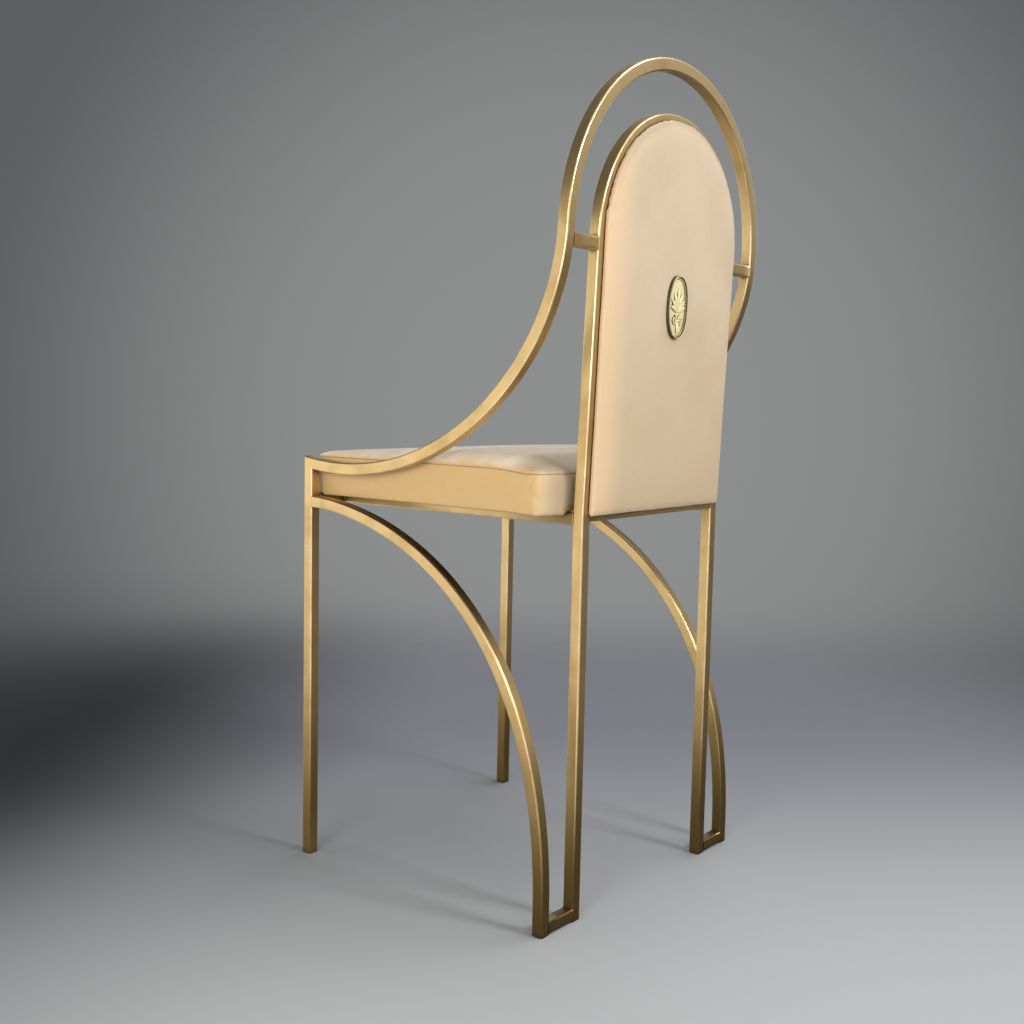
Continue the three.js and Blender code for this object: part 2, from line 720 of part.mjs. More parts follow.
const tabHoleX = POST_X - HALF - TAB_LENGTH + TAB_HOLE_EDGE;
const frontTabY = LEG_Y + HALF + TAB_FROM_RAIL_END;
const rearTabY = -HALF - TAB_FROM_RAIL_END;
const tabRows = [
  { row: "front", y: frontTabY },
  { row: "rear", y: rearTabY },
];
const screwPlaces = placesOn(tabHoleX, tabRows);
const screwHoles = screwPlaces.map((place) => ({ ...place, radius: SCREW_RADIUS + FIT_GAP }));
add(seatGroup, "seat_board", boardOf(seat, screwHoles), plywood);
add(seatGroup, "seat_foam", foamOf(seat), foam);
add(seatGroup, "seat_cover", coverOf(seat), leather);

// The dust cover lies inside the hem, as thick as the leather, on the underside of the board
const dustSheet = new THREE.Shape(plainOutline(seat.corners, SEAT_HEM + FIT_GAP));
for (const { x, y, radius } of screwHoles) {
  const hole = new THREE.Path();
  hole.absarc(x, y, radius, 0, 2 * Math.PI, true);
  dustSheet.holes.push(hole);
}
const dustCover = new THREE.ExtrudeGeometry(dustSheet, {
  depth: LEATHER,
  curveSegments: SCREW_SIDES / 2,
  bevelEnabled: false,
});
add(seatGroup, "seat_dust_cover", dustCover, blackCloth);

// Tabs welded inside the side rails, flush with their tops, and the screws up into the board
const tabSize = { length: TAB_LENGTH, width: TAB_WIDTH, thickness: TAB_THICKNESS };
function seatTab(side, y) {
  return drilledPlate(side, POST_X - HALF, y, tabHoleX, tabSize).translate(0, 0, RAIL_TOP - TAB_THICKNESS);
}

for (const { label, x, y } of screwPlaces) {
  add(chair, `seat_tab_${label}`, seatTab(Math.sign(x), y), brass);
}
for (const { label, x, y } of screwPlaces) {
  const seatScrew = screw(SEAT_SCREW_LENGTH).translate(x, y, RAIL_TOP - TAB_THICKNESS);
  add(chair, `seat_screw_${label}`, seatScrew, zincSteel);
}

// Back, seen from the front: lugs on the posts, a board with the front pad, screws from behind
const lugRear = HALF - SCREW_HEAD - FIT_GAP; // rear face of the lugs, from the back plane
const frontPadBase = lugRear - LUG_THICKNESS - FIT_GAP;
const seatShoulder = RAIL_TOP + FIT_GAP + SEAT_HEIGHT + SEAT_CROWN * SEAT_REAR_CROWN_SHARE;
const frontPadBottom = (seatShoulder + FRONT_PAD_SEAT_GAP - RAIL_Z) / Math.cos(RAKE);
const frontPad = {
  corners: archCorners(POST_X - HALF - FRONT_PAD_FIT, frontPadBottom, FRONT_PAD_BOTTOM_ROUND),
  height: frontPadBase + HALF + FRONT_PAD_PROUD,
  crown: FRONT_PAD_CROWN,
  crownRun: FRONT_PAD_CROWN_RUN,
  edgeRound: FRONT_PAD_EDGE_ROUND,
  drawIn: PAD_DRAW_IN,
  hem: PAD_HEM,
  board: BACK_BOARD,
};
const frontPadGroup = new THREE.Group(); // its Z points to the front
frontPadGroup.rotation.x = Math.PI / 2;
frontPadGroup.position.y = frontPadBase;
raked.add(frontPadGroup);

const lugHoleX = POST_X - HALF - LUG_LENGTH + LUG_HOLE_EDGE;
const lugRows = [
  { row: "lower", y: frontPadBottom + LOWER_LUG_RISE },
  { row: "upper", y: ARCH_RUN - UPPER_LUG_DROP },
];
const clipRows = [
  { row: "lower", y: frontPadBottom + LOWER_CLIP_RISE },
  { row: "upper", y: ARCH_RUN + UPPER_CLIP_RISE },
];
const lugPlaces = placesOn(lugHoleX, lugRows);
const clipPlaces = placesOn(CLIP_X, clipRows);
const backHoles = [
  ...lugPlaces.map((place) => ({ ...place, radius: SCREW_RADIUS + FIT_GAP })),
  ...clipPlaces.map((place) => ({ ...place, radius: CLIP_RADIUS + FIT_GAP })),
];
add(frontPadGroup, "back_board", boardOf(frontPad, backHoles), plywood);
add(frontPadGroup, "front_pad_foam", foamOf(frontPad), foam);
add(frontPadGroup, "front_pad_cover", coverOf(frontPad), leather);

const lugSize = { length: LUG_LENGTH, width: LUG_WIDTH, thickness: LUG_THICKNESS };
function backLug(side, run) {
  const lug = drilledPlate(side, POST_X - HALF, run, lugHoleX, lugSize);
  return lug.rotateX(Math.PI / 2).translate(0, lugRear, 0);
}

for (const { label, x, y } of lugPlaces) {
  const backScrew = screw(BACK_SCREW_LENGTH).rotateX(Math.PI / 2).translate(x, lugRear + FIT_GAP, y);
  add(raked, `back_lug_${label}`, backLug(Math.sign(x), y), brass);
  add(raked, `back_screw_${label}`, backScrew, zincSteel);
}

// Back, seen from behind: a hardboard panel with the rear pad, which laps the frame all round
const rearPadBottom = REAR_RAIL_RISE + HALF - REAR_PAD_BOTTOM_LAP;
const rearPad = {
  corners: archCorners(POST_X - HALF + REAR_PAD_LAP, rearPadBottom, REAR_PAD_BOTTOM_ROUND),
  height: REAR_PAD_HEIGHT,
  crown: REAR_PAD_CROWN,
  crownRun: REAR_PAD_CROWN_RUN,
  edgeRound: REAR_PAD_EDGE_ROUND,
  drawIn: PAD_DRAW_IN,
  hem: PAD_HEM,
  board: REAR_PANEL,
};
const rearPadGroup = new THREE.Group(); // its Z points to the rear
rearPadGroup.rotation.set(Math.PI / 2, 0, Math.PI, "ZXY");
rearPadGroup.position.y = HALF + FIT_GAP;
raked.add(rearPadGroup);

const medallionRun = ARCH_RUN - MEDALLION_DROP;
const studPlaces = [
  { row: "lower", y: medallionRun - STUD_SPACING / 2 },
  { row: "upper", y: medallionRun + STUD_SPACING / 2 },
];
const studHole = STUD_RADIUS + FIT_GAP;
const padFace = REAR_PAD_HEIGHT + REAR_PAD_CROWN;
const pierced = (geometry) => bored(geometry, studPlaces, studHole, -HALF, padFace + HALF);
add(rearPadGroup, "rear_panel", pierced(boardOf(rearPad, [])), plywood);
add(rearPadGroup, "rear_pad_foam", pierced(foamOf(rearPad)), foam);
add(rearPadGroup, "rear_pad_cover", pierced(coverOf(rearPad)), leather);

// Push clips: a head against the rear panel and a stem forward into the back board
const panelFront = HALF + FIT_GAP + LEATHER + FIT_GAP;
const clipTip = frontPadBase - LEATHER - FIT_GAP - BACK_BOARD + CLIP_END_GAP;
function panelClip(x, run) {
  const clip = turned(
    [
      [0, 0],
      [CLIP_HEAD_RADIUS, 0],
      [CLIP_HEAD_RADIUS, CLIP_HEAD],
      [CLIP_RADIUS, CLIP_HEAD],
      [CLIP_RADIUS, panelFront - FIT_GAP - clipTip - CLIP_RADIUS],
      [0, panelFront - FIT_GAP - clipTip],
    ],
    CLIP_SIDES,
  );
  return clip.rotateX(Math.PI / 2).translate(x, panelFront - FIT_GAP, run);
}
for (const { label, x, y } of clipPlaces) {
  add(raked, `panel_clip_${label}`, panelClip(x, y), blackPlastic);
}

// Medallion: an oval plate with a sloped rim, a palmette over two volutes and a hanging bud
function ovalSlab(grow, bottom, top, draft) {
  const full = (part) => Math.sign(part) * Math.abs(part) ** MEDALLION_OVAL_POWER;
  const oval = (shrink) => {
    const halfWidth = MEDALLION_WIDTH / 2 + grow - shrink;
    const halfHeight = MEDALLION_HEIGHT / 2 + grow - shrink;
    const points = [];
    for (let i = 0; i < 2 * MEDALLION_SEGMENTS; i += 1) {
      const angle = (Math.PI * i) / MEDALLION_SEGMENTS;
      points.push(new THREE.Vector2(halfWidth * full(Math.cos(angle)), halfHeight * full(Math.sin(angle))));
    }
    return points;
  };
  return loft([
    { points: oval(draft), height: top },
    { points: oval(0), height: bottom },
  ]);
}

/** A rounded leaf lying on the plate: its root at the origin and its tip along +Y. */
function leaf(length, width, height) {
  const body = new THREE.SphereGeometry(0.5, LEAF_SIDES, LEAF_RINGS);
  body.rotateX(Math.PI / 2);
  body.scale(width, length, 2 * height);
  body.translate(0, length / 2, 0);
  return body;
}

function medallion() {
  const rimTop = MEDALLION_PLATE + MEDALLION_RIM;
  const wellTop = rimTop + MEDALLION_RIM;
  const well = ovalSlab(-MEDALLION_RIM_WIDTH, MEDALLION_PLATE, wellTop, -MEDALLION_RIM_SLOPE);
  let solid = toSolid(ovalSlab(0, 0, rimTop, MEDALLION_RIM_SLOPE)).subtract(toSolid(well));
  const carve = (geometry) => {
    solid = solid.add(toSolid(geometry));
  };
  for (let i = 0; i < LEAF_COUNT; i += 1) {
    const turn = i / (LEAF_COUNT - 1) - 0.5;
    const length = LEAF_LENGTH * (1 - (1 - LEAF_SIDE_SHARE) * Math.abs(2 * turn));
    const one = leaf(length, LEAF_WIDTH, LEAF_HEIGHT);
    one.rotateZ(-turn * LEAF_SPREAD);
    one.translate(0, -LEAF_ROOT_DROP, MEDALLION_PLATE);
    carve(one);
  }
  for (const { side } of HANDS) {
    const volute = new THREE.TorusGeometry(
      VOLUTE_RADIUS - VOLUTE_WIRE, VOLUTE_WIRE, VOLUTE_SIDES, VOLUTE_STEPS);
    volute.translate(side * VOLUTE_X, -VOLUTE_DROP, MEDALLION_PLATE);
    carve(volute);
  }
  const bud = leaf(BUD_LENGTH, BUD_WIDTH, LEAF_HEIGHT);
  bud.translate(0, -BUD_DROP - BUD_LENGTH / 2, MEDALLION_PLATE);
  carve(bud);
  const nutSeat = padFace + FIT_GAP - LEATHER - FIT_GAP;
  const studLength = nutSeat + STUD_NUT + STUD_OVERRUN;
  for (const { y } of studPlaces) {
    const shank = studLength + MEDALLION_PLATE / 2;
    const stud = new THREE.CylinderGeometry(STUD_RADIUS, STUD_RADIUS, shank, SCREW_SIDES);
    stud.rotateX(Math.PI / 2);
    stud.translate(0, y - medallionRun, (MEDALLION_PLATE / 2 - studLength) / 2);
    carve(stud);
  }
  const casting = toGeometry(solid);
  casting.translate(0, medallionRun, padFace + FIT_GAP);
  return casting;
}
add(rearPadGroup, "medallion", medallion(), castBrass);

// Nuts that draw the studs up against the front of the rear panel
function studNut(y) {
  const ring = new THREE.Shape();
  ring.absarc(0, 0, STUD_NUT_RADIUS, 0, 2 * Math.PI);
  const bore = new THREE.Path();
  bore.absarc(0, 0, studHole, 0, 2 * Math.PI, true);
  ring.holes.push(bore);
  const nut = new THREE.ExtrudeGeometry(ring, {
    depth: STUD_NUT,
    curveSegments: NUT_SEGMENTS,
    bevelEnabled: false,
  });
  return nut.translate(0, y, LEATHER - STUD_NUT);
}
for (const { row, y } of studPlaces) {
  add(rearPadGroup, `medallion_nut_${row}`, studNut(y), zincSteel);
}

// Bring the middle of the footprint to the origin
chair.updateMatrixWorld(true);
const middle = new THREE.Box3().setFromObject(chair, true).getCenter(new THREE.Vector3());
chair.position.set(-middle.x, -middle.y, 0);

export default chair;
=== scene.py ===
"""Looks of a square-tube brass dining chair with leather upholstery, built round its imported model.

Metres, +Z up. +X is the sitter's left and the sitter faces -Y. Every finished piece has its
place in its mesh and its object at the origin.
"""

import json
import logging
import math
from dataclasses import dataclass, field
from enum import Enum
from typing import Iterable, Optional, Sequence, Union

import bmesh
import bpy
from mathutils import Matrix, Vector, noise


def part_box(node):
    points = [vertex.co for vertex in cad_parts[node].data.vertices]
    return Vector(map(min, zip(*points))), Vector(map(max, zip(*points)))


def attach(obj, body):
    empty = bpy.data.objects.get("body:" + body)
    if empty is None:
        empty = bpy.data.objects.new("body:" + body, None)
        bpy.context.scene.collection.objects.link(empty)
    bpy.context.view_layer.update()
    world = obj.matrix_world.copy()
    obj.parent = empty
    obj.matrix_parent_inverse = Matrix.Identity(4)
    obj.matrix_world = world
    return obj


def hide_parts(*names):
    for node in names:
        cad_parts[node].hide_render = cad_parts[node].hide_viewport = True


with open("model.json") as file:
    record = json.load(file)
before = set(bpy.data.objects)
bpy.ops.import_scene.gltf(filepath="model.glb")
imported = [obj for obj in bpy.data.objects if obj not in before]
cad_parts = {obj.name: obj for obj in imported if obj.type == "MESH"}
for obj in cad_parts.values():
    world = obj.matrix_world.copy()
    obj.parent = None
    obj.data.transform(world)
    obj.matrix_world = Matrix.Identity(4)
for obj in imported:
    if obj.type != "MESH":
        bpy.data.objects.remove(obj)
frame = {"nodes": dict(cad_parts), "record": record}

log = logging.getLogger("chair")

BODY = "root"
MM = 0.001
HANDS = (("left", 1.0), ("right", -1.0))
X_AXIS = Vector((1.0, 0.0, 0.0))
Y_AXIS = Vector((0.0, 1.0, 0.0))
Z_AXIS = Vector((0.0, 0.0, 1.0))

Colour = tuple[float, float, float, float]
Feed = Union[bpy.types.NodeSocket, float, tuple]


class Slot(Enum):
    """Material slots of the record."""

    BRASS = "brass"
    CAST_BRASS = "cast_brass"
    LEATHER = "leather"
    FOAM = "foam"
    PLYWOOD = "plywood"
    BLACK_CLOTH = "black_cloth"
    BLACK_PLASTIC = "black_plastic"
    ZINC_STEEL = "zinc_steel"


def linear(red: float, green: float, blue: float) -> Colour:
    """Linear colour of an 8-bit display colour.

    Args:
        red: Red, 0 to 255.
        green: Green, 0 to 255.
        blue: Blue, 0 to 255.

    Returns:
        The colour as linear red, green, blue and an alpha of 1.
    """
    def channel(value: float) -> float:
        """One channel of it."""
        share = value / 255
        return share / 12.92 if share <= 0.04045 else ((share + 0.055) / 1.055) ** 2.4

    return channel(red), channel(green), channel(blue), 1.0


def smoothstep(low: float, high: float, value: float) -> float:
    """Smooth rise from 0 at low to 1 at high."""
    share = min(1.0, max(0.0, (value - low) / (high - low)))
    return share * share * (3 - 2 * share)


class NodeBoard:
    """A shader's node tree, with short calls to add and join nodes."""

    def __init__(self, tree: bpy.types.NodeTree) -> None:
        """Clears the tree.

        Args:
            tree: Node tree of a material or a world.
        """
        self.tree = tree
        tree.nodes.clear()

    def feed(self, socket: bpy.types.NodeSocket, value: Feed) -> None:
        """Joins an input to the socket that feeds it, or sets it to a plain value.

        Args:
            socket: The input.
            value: An output socket, a number, a vector or a colour.
        """
        if isinstance(value, bpy.types.NodeSocket):
            self.tree.links.new(value, socket)
        else:
            socket.default_value = value

    def add(self, kind: str, inputs: Optional[dict] = None, **settings: object) -> bpy.types.Node:
        """Adds a node.

        Args:
            kind: The node's type name without its ShaderNode prefix.
            inputs: Socket name or index to a value, or to the socket that feeds it.
            **settings: Attributes of the node.

        Returns:
            The new node.
        """
        node = self.tree.nodes.new("ShaderNode" + kind)
        for name, value in settings.items():
            setattr(node, name, value)
        for name, value in (inputs or {}).items():
            self.feed(node.inputs[name], value)
        return node

    def math(
        self, operation: str, first: Feed, second: Feed = 0.0, clamp: bool = False
    ) -> bpy.types.NodeSocket:
        """Output of a Math node."""
        node = self.add("Math", {0: first, 1: second}, operation=operation, use_clamp=clamp)
        return node.outputs[0]

    def product(self, first: Feed, *others: Feed) -> bpy.types.NodeSocket:
        """Product of two or more values.

        Args:
            first: The first value.
            *others: The values that it is multiplied by, in order.

        Returns:
            The product's socket.
        """
        for other in others:
            first = self.math("MULTIPLY", first, other)
        return first

    def total(self, first: Feed, *others: Feed) -> bpy.types.NodeSocket:
        """Sum of two or more values.

        Args:
            first: The first value.
            *others: The values that are added to it, in order.

        Returns:
            The sum's socket.
        """
        for other in others:
            first = self.math("ADD", first, other)
        return first

    def ramp(
        self, value: Feed, low: float, high: float, start: float = 0.0, end: float = 1.0
    ) -> bpy.types.NodeSocket:
        """Smooth change from start, at low, to end, at high."""
        inputs = {"Value": value, "From Min": low, "From Max": high, "To Min": start, "To Max": end}
        return self.add("MapRange", inputs, interpolation_type="SMOOTHSTEP").outputs["Result"]

    def dot(self, vector: Feed, axis: Vector) -> bpy.types.NodeSocket:
        """Length of a vector along an axis."""
        inputs = {0: vector, 1: tuple(axis)}
        return self.add("VectorMath", inputs, operation="DOT_PRODUCT").outputs["Value"]

    def blend(self, factor: Feed, first: Feed, second: Feed) -> bpy.types.NodeSocket:
        """Colour between two colours."""
        return self.add("Mix", {0: factor, 6: first, 7: second}, data_type="RGBA").outputs[2]

    def own_place(self) -> bpy.types.NodeSocket:
        """Place in the object's own coordinates."""
        return self.add("TexCoord").outputs["Object"]

    def facing(self, axis: Vector) -> bpy.types.NodeSocket:
        """How far the surface faces an axis, -1 to 1."""
        return self.dot(self.add("NewGeometry").outputs["Normal"], axis)

    def stretched(self, place: Feed, scale: tuple) -> bpy.types.NodeSocket:
        """A place scaled axis by axis."""
        return self.add("Mapping", {"Vector": place, "Scale": scale}).outputs["Vector"]

    def speckle(
        self, place: Feed, scale: float, detail: float, roughness: float = 0.5
    ) -> bpy.types.NodeSocket:
        """Noise of 0 to 1."""
        inputs = {"Vector": place, "Scale": scale, "Detail": detail, "Roughness": roughness}
        return self.add("TexNoise", inputs).outputs["Fac"]

    def kept(self, attribute: str) -> bpy.types.NodeSocket:
        """Value that a mesh keeps in an attribute."""
        return self.add("Attribute", attribute_name=attribute).outputs["Fac"]

    def openness(self, reach: float) -> bpy.types.NodeSocket:
        """Share of the surroundings that is open within a reach."""
        return self.add("AmbientOcclusion", {"Distance": reach}).outputs["AO"]

    def bump(
        self, height: Feed, distance: float, strength: float, normal: Optional[Feed] = None
    ) -> bpy.types.NodeSocket:
        """Normal of a bump.

        Args:
            height: Socket with the height, 0 to 1.
            distance: Real height of 1, in metres.
            strength: Strength of the bump.
            normal: Normal of an earlier bump.

        Returns:
            The normal socket.
        """
        inputs = {"Height": height, "Distance": distance, "Strength": strength}
        if normal is not None:
            inputs["Normal"] = normal
        return self.add("Bump", inputs).outputs["Normal"]


@dataclass(frozen=True)
class Finish:
    """A finish with its constant shader values; a subclass adds what varies over the surface."""

    name: str
    colour: Colour
    roughness: float
    metallic: float = 0.0
    specular: float = 0.5

    def constants(self) -> dict:
        """Values that are the same all over."""
        return {
            "Base Color": self.colour,
            "Roughness": self.roughness,
            "Metallic": self.metallic,
            "Specular IOR Level": self.specular,
        }

    def vary(self, board: NodeBoard) -> dict:
        """Sockets that change over the surface, by shader input."""
        return {}

    def material(self) -> bpy.types.Material:
        """The finish as a material, made once.

        Returns:
            The material, which is named after the finish.
        """
        found = bpy.data.materials.get(self.name)
        if found is not None:
            return found
        material = bpy.data.materials.new(self.name)
        material.use_nodes = True
        board = NodeBoard(material.node_tree)
        shader = board.add("BsdfPrincipled", {**self.constants(), **self.vary(board)})
        board.add("OutputMaterial", {"Surface": shader.outputs[0]})
        return material


@dataclass(frozen=True)
class SatinBrass(Finish):
    """Satin brass tube: fine lines along it, soft tarnish, edges rubbed bright, and painted shade in
    nooks and under the seat.
    """

    tarnish: Colour = linear(170, 142, 92)
    rubbed: Colour = linear(250, 234, 196)
    nook_shade: Colour = linear(56, 46, 24)
    low_dark: Colour = linear(118, 96, 52)
    shaded: Colour = linear(84, 64, 30)
    nook_reach: float = 14 * MM
    line_scale: tuple[float, float, float] = (26.0, 2100.0, 1.0)
    line_depth: float = 0.02 * MM
    cloud_scale: float = 17.0
    low_dark_from: float = 0.3
    low_dark_to: float = 0.04
    brace_shade: tuple[float, float] = (0.2, 0.4)
    brace_shade_end: tuple[float, float] = (0.452, 0.445)
    low_share: float = 0.85

    def vary(self, board: NodeBoard) -> dict:
        """Lines from the tube's own map, tarnish in clouds, bright edges and painted shade in nooks.

        Args:
            board: The material's nodes.

        Returns:
            Colour, roughness and normal by shader input.
        """
        place = board.own_place()
        own_map = board.add("UVMap", uv_map=TubeStock.MAP).outputs["UV"]
        lines = board.speckle(board.stretched(own_map, self.line_scale), 1.0, 3.0)
        clouds = board.speckle(place, self.cloud_scale, 5.0, 0.62)
        # Painted shade: ambient occlusion darkens the brass, and roughens it, where parts meet and
        # in nooks.
        nook_shade_mask = board.ramp(board.openness(self.nook_reach), 0.3, 0.85, 1.0, 0.0)
        edge = board.kept(TubeStock.EDGE)
        dulled = board.blend(board.ramp(clouds, 0.42, 0.72, 0.0, 0.5), self.colour, self.tarnish)
        worn = board.product(edge, board.ramp(clouds, 0.3, 0.62, 0.75, 0.25))
        colour = self.lower(board, place, board.blend(worn, dulled, self.rubbed))
        colour = board.blend(nook_shade_mask, colour, self.nook_shade)
        rough = board.total(board.ramp(lines, 0.3, 0.7, -0.04, 0.05), self.roughness)
        cloudy = board.ramp(clouds, 0.35, 0.7, -0.02, 0.06)
        rough = board.total(rough, board.product(nook_shade_mask, 0.25), cloudy)
        rough = board.math("SUBTRACT", rough, board.product(edge, 0.07))
        normal = board.bump(lines, self.line_depth, 0.35)
        return {"Base Color": colour, "Roughness": rough, "Normal": normal}

    def lower(self, board: NodeBoard, place: Feed, colour: Feed) -> bpy.types.NodeSocket:
        """Darkens the tubes towards the floor, and paints shade on the braces' tops under the seat.

        Args:
            board: The material's nodes.
            place: Place in the object's coordinates.
            colour: The colour so far.

        Returns:
            The new colour.
        """
        height = board.dot(place, Z_AXIS)
        # Darker towards the floor.
        feet = board.ramp(height, self.low_dark_from, self.low_dark_to, 0.0, self.low_share)
        colour = board.blend(feet, colour, self.low_dark)
        # Painted shade on the upward faces of the braces under the seat.
        upward = board.ramp(board.facing(Z_AXIS), 0.12, 0.5)
        under = board.product(
            board.ramp(height, *self.brace_shade), board.ramp(height, *self.brace_shade_end)
        )
        return board.blend(board.product(under, upward, self.low_share), colour, self.shaded)


@dataclass(frozen=True)
class CastBrass(Finish):
    """Cast brass, dark in its hollows and down its sides, and polished on its face."""

    hollow: Colour = linear(34, 26, 12)
    hollow_reach: float = 2.8 * MM
    pit_scale: float = 900.0
    pit_depth: float = 0.1 * MM

    def vary(self, board: NodeBoard) -> dict:
        """Patina in what lies low, close or steep, and a fine pitted skin.

        Args:
            board: The material's nodes.

        Returns:
            Colour, roughness and normal by shader input.
        """
        pits = board.speckle(board.own_place(), self.pit_scale, 4.0)
        low = board.math("SUBTRACT", 1.0, board.kept(Medallion.RELIEF), clamp=True)
        close = board.ramp(board.openness(self.hollow_reach), 0.5, 0.9, 1.0, 0.0)
        steep = board.ramp(board.facing(Y_AXIS), 0.3, 0.62, 1.0, 0.0)
        dark = board.math("MAXIMUM", board.math("MAXIMUM", low, close), steep)
        broken = board.product(dark, board.ramp(pits, 0.2, 0.6, 0.85, 1.0))
        colour = board.blend(broken, self.colour, self.hollow)
        rough = board.total(board.product(broken, 0.28), self.roughness)
        normal = board.bump(pits, self.pit_depth, 0.3)
        return {"Base Color": colour, "Roughness": rough, "Normal": normal}


@dataclass(frozen=True)
class Leather(Finish):
    """Smooth semi-matt leather: small pebbled cells, faint creases, cloudy tone and painted light
    and shade.
    """

    shade: Colour = linear(200, 174, 136)
    side_warm_light: Colour = linear(230, 190, 124)
    top_glare: Colour = linear(234, 222, 204)
    seat_shadow: Colour = linear(150, 134, 104)
    edge_highlight: Colour = linear(244, 208, 164)
    valley_and_shade: Colour = linear(132, 104, 72)
    seat_top: float = 0.54
    rear_edge: float = 0.165
    back_face: float = 0.176
    cell_scale: float = 820.0
    cell_drift: float = 4 * MM
    cell_depth: float = 0.09 * MM
    crease_depth: float = 0.3 * MM
    grain_depth: float = 0.03 * MM
    sheen: float = 0.12

    def constants(self) -> dict:
        """Values that are the same all over, with a light sheen."""
        return {**super().constants(), "Sheen Weight": self.sheen, "Sheen Roughness": 0.5}

    def vary(self, board: NodeBoard) -> dict:
        """Cells, creases, grain and clouds, with painted light and shade on the seat and the rear
        pad.

        Args:
            board: The material's nodes.

        Returns:
            Colour, roughness and normal by shader input.
        """
        place = board.own_place()
        cells = self.cells(board, place)
        creases = board.speckle(place, 130.0, 6.0, 0.7)
        grain = board.speckle(place, 2600.0, 3.0)
        clouds = board.speckle(place, 11.0, 4.0, 0.55)
        cloudy = board.blend(board.ramp(clouds, 0.38, 0.72, 0.0, 0.4), self.colour, self.shade)
        rear = board.dot(place, Y_AXIS)
        height = board.dot(place, Z_AXIS)
        behind = board.ramp(rear, self.back_face - 3 * MM, self.back_face)
        low = board.ramp(height, self.seat_top + 20 * MM, self.seat_top)
        on_seat = board.math("SUBTRACT", low, behind, clamp=True)
        colour = self.seat_painted_light(board, place, on_seat, cloudy)
        colour = self.back_painted_light(board, place, behind, colour)
        # Darker in the sewn grooves, with painted shade along the seat's bottom edge and round the
        # pads' arches.
        seam_and_edge_shade = board.product(board.kept(SoftForm.SEAM_AND_SHADE), 0.6)
        lines = board.math("ADD", board.ramp(cells, 0.0, 0.16, 0.16, 0.0), seam_and_edge_shade, clamp=True)
        colour = board.blend(lines, colour, self.valley_and_shade)
        rough = board.total(board.ramp(creases, 0.35, 0.65, -0.05, 0.07), self.roughness)
        normal = board.bump(board.ramp(cells, 0.0, 0.22), self.cell_depth, 0.35)
        normal = board.bump(creases, self.crease_depth, 0.14, normal)
        normal = board.bump(grain, self.grain_depth, 0.25, normal)
        return {"Base Color": colour, "Roughness": rough, "Normal": normal}

    def cells(self, board: NodeBoard, place: Feed) -> bpy.types.NodeSocket:
        """Distance to the edge of small uneven cells.

        Args:
            board: The material's nodes.
            place: Place in the object's coordinates.

        Returns:
            The distance's socket.
        """
        drift = board.add("TexNoise", {"Vector": place, "Scale": 60.0, "Detail": 3.0})
        wander = {0: self.cell_drift, 4: place, 5: drift.outputs["Color"]}
        mixed = board.add("Mix", wander, data_type="VECTOR")
        inputs = {"Vector": mixed.outputs[1], "Scale": self.cell_scale}
        return board.add("TexVoronoi", inputs, feature="DISTANCE_TO_EDGE").outputs["Distance"]

    def seat_painted_light(
        self, board: NodeBoard, place: Feed, on_seat: Feed, colour: Feed
    ) -> bpy.types.NodeSocket:
        """Paints warm light on the seat's sides, glare in streaks on its top and shadow at the back.

        Args:
            board: The material's nodes.
            place: Place in the object's coordinates.
            on_seat: 1 on the seat and 0 on the back.
            colour: The colour so far.

        Returns:
            The new colour.
        """
        # Painted light: the seat's sides are tinted warmer and brighter, for warm light falling on
        # them.
        outward = board.math("ABSOLUTE", board.facing(X_AXIS))
        side_warm_mask = board.product(on_seat, board.ramp(outward, 0.1, 0.85, 0.0, 0.85))
        colour = board.blend(side_warm_mask, colour, self.side_warm_light)
        # Painted highlight: the top is paled in streaks, for glare on it.
        upward = board.ramp(board.facing(Z_AXIS), 0.35, 0.95)
        streaks = board.speckle(board.stretched(place, (3.0, 22.0, 22.0)), 1.6, 5.0)
        top_glare_mask = board.product(upward, board.ramp(streaks, 0.4, 0.62, 0.3, 1.0))
        colour = board.blend(top_glare_mask, colour, self.top_glare)
        # Painted shadow: the top darkens towards the back and the sides, where the back shades it.
        rear = board.dot(place, Y_AXIS)
        aside = board.math("ABSOLUTE", board.dot(place, X_AXIS))
        rearward = board.ramp(rear, self.rear_edge - 75 * MM, self.rear_edge - 12 * MM)
        beside = board.ramp(aside, 80 * MM, 160 * MM, 0.35, 1.0)
        back_shadow_mask = board.product(rearward, beside, upward, on_seat, 0.75)
        colour = board.blend(back_shadow_mask, colour, self.seat_shadow)
        # Painted shadow beside the rear posts.
        past_pad = board.ramp(aside, 128 * MM, 137 * MM)
        post_shadow_mask = board.product(
            board.ramp(aside, 180 * MM, 150 * MM, 0.0, 0.55), on_seat, rearward, past_pad
        )
        return board.blend(post_shadow_mask, colour, self.seat_shadow)

    def back_painted_light(
        self, board: NodeBoard, place: Feed, behind: Feed, colour: Feed
    ) -> bpy.types.NodeSocket:
        """Paints shade low on the rear pad and a warm highlight along its edge on the sitter's left.

        Args:
            board: The material's nodes.
            place: Place in the object's coordinates.
            behind: 1 on the rear pad and 0 elsewhere.
            colour: The colour so far.

        Returns:
            The new colour.
        """
        # Painted shade: the rear pad darkens towards its bottom.
        low = board.product(behind, board.ramp(board.dot(place, Z_AXIS), 0.78, 0.45, 0.0, 0.55))
        colour = board.blend(low, colour, self.shade)
        # Painted highlight: a warm, paler band along the pad's edge on the sitter's left.
        edge = board.ramp(board.dot(place, X_AXIS), 82 * MM, 124 * MM, 0.0, 0.6)
        return board.blend(board.product(behind, edge), colour, self.edge_highlight)


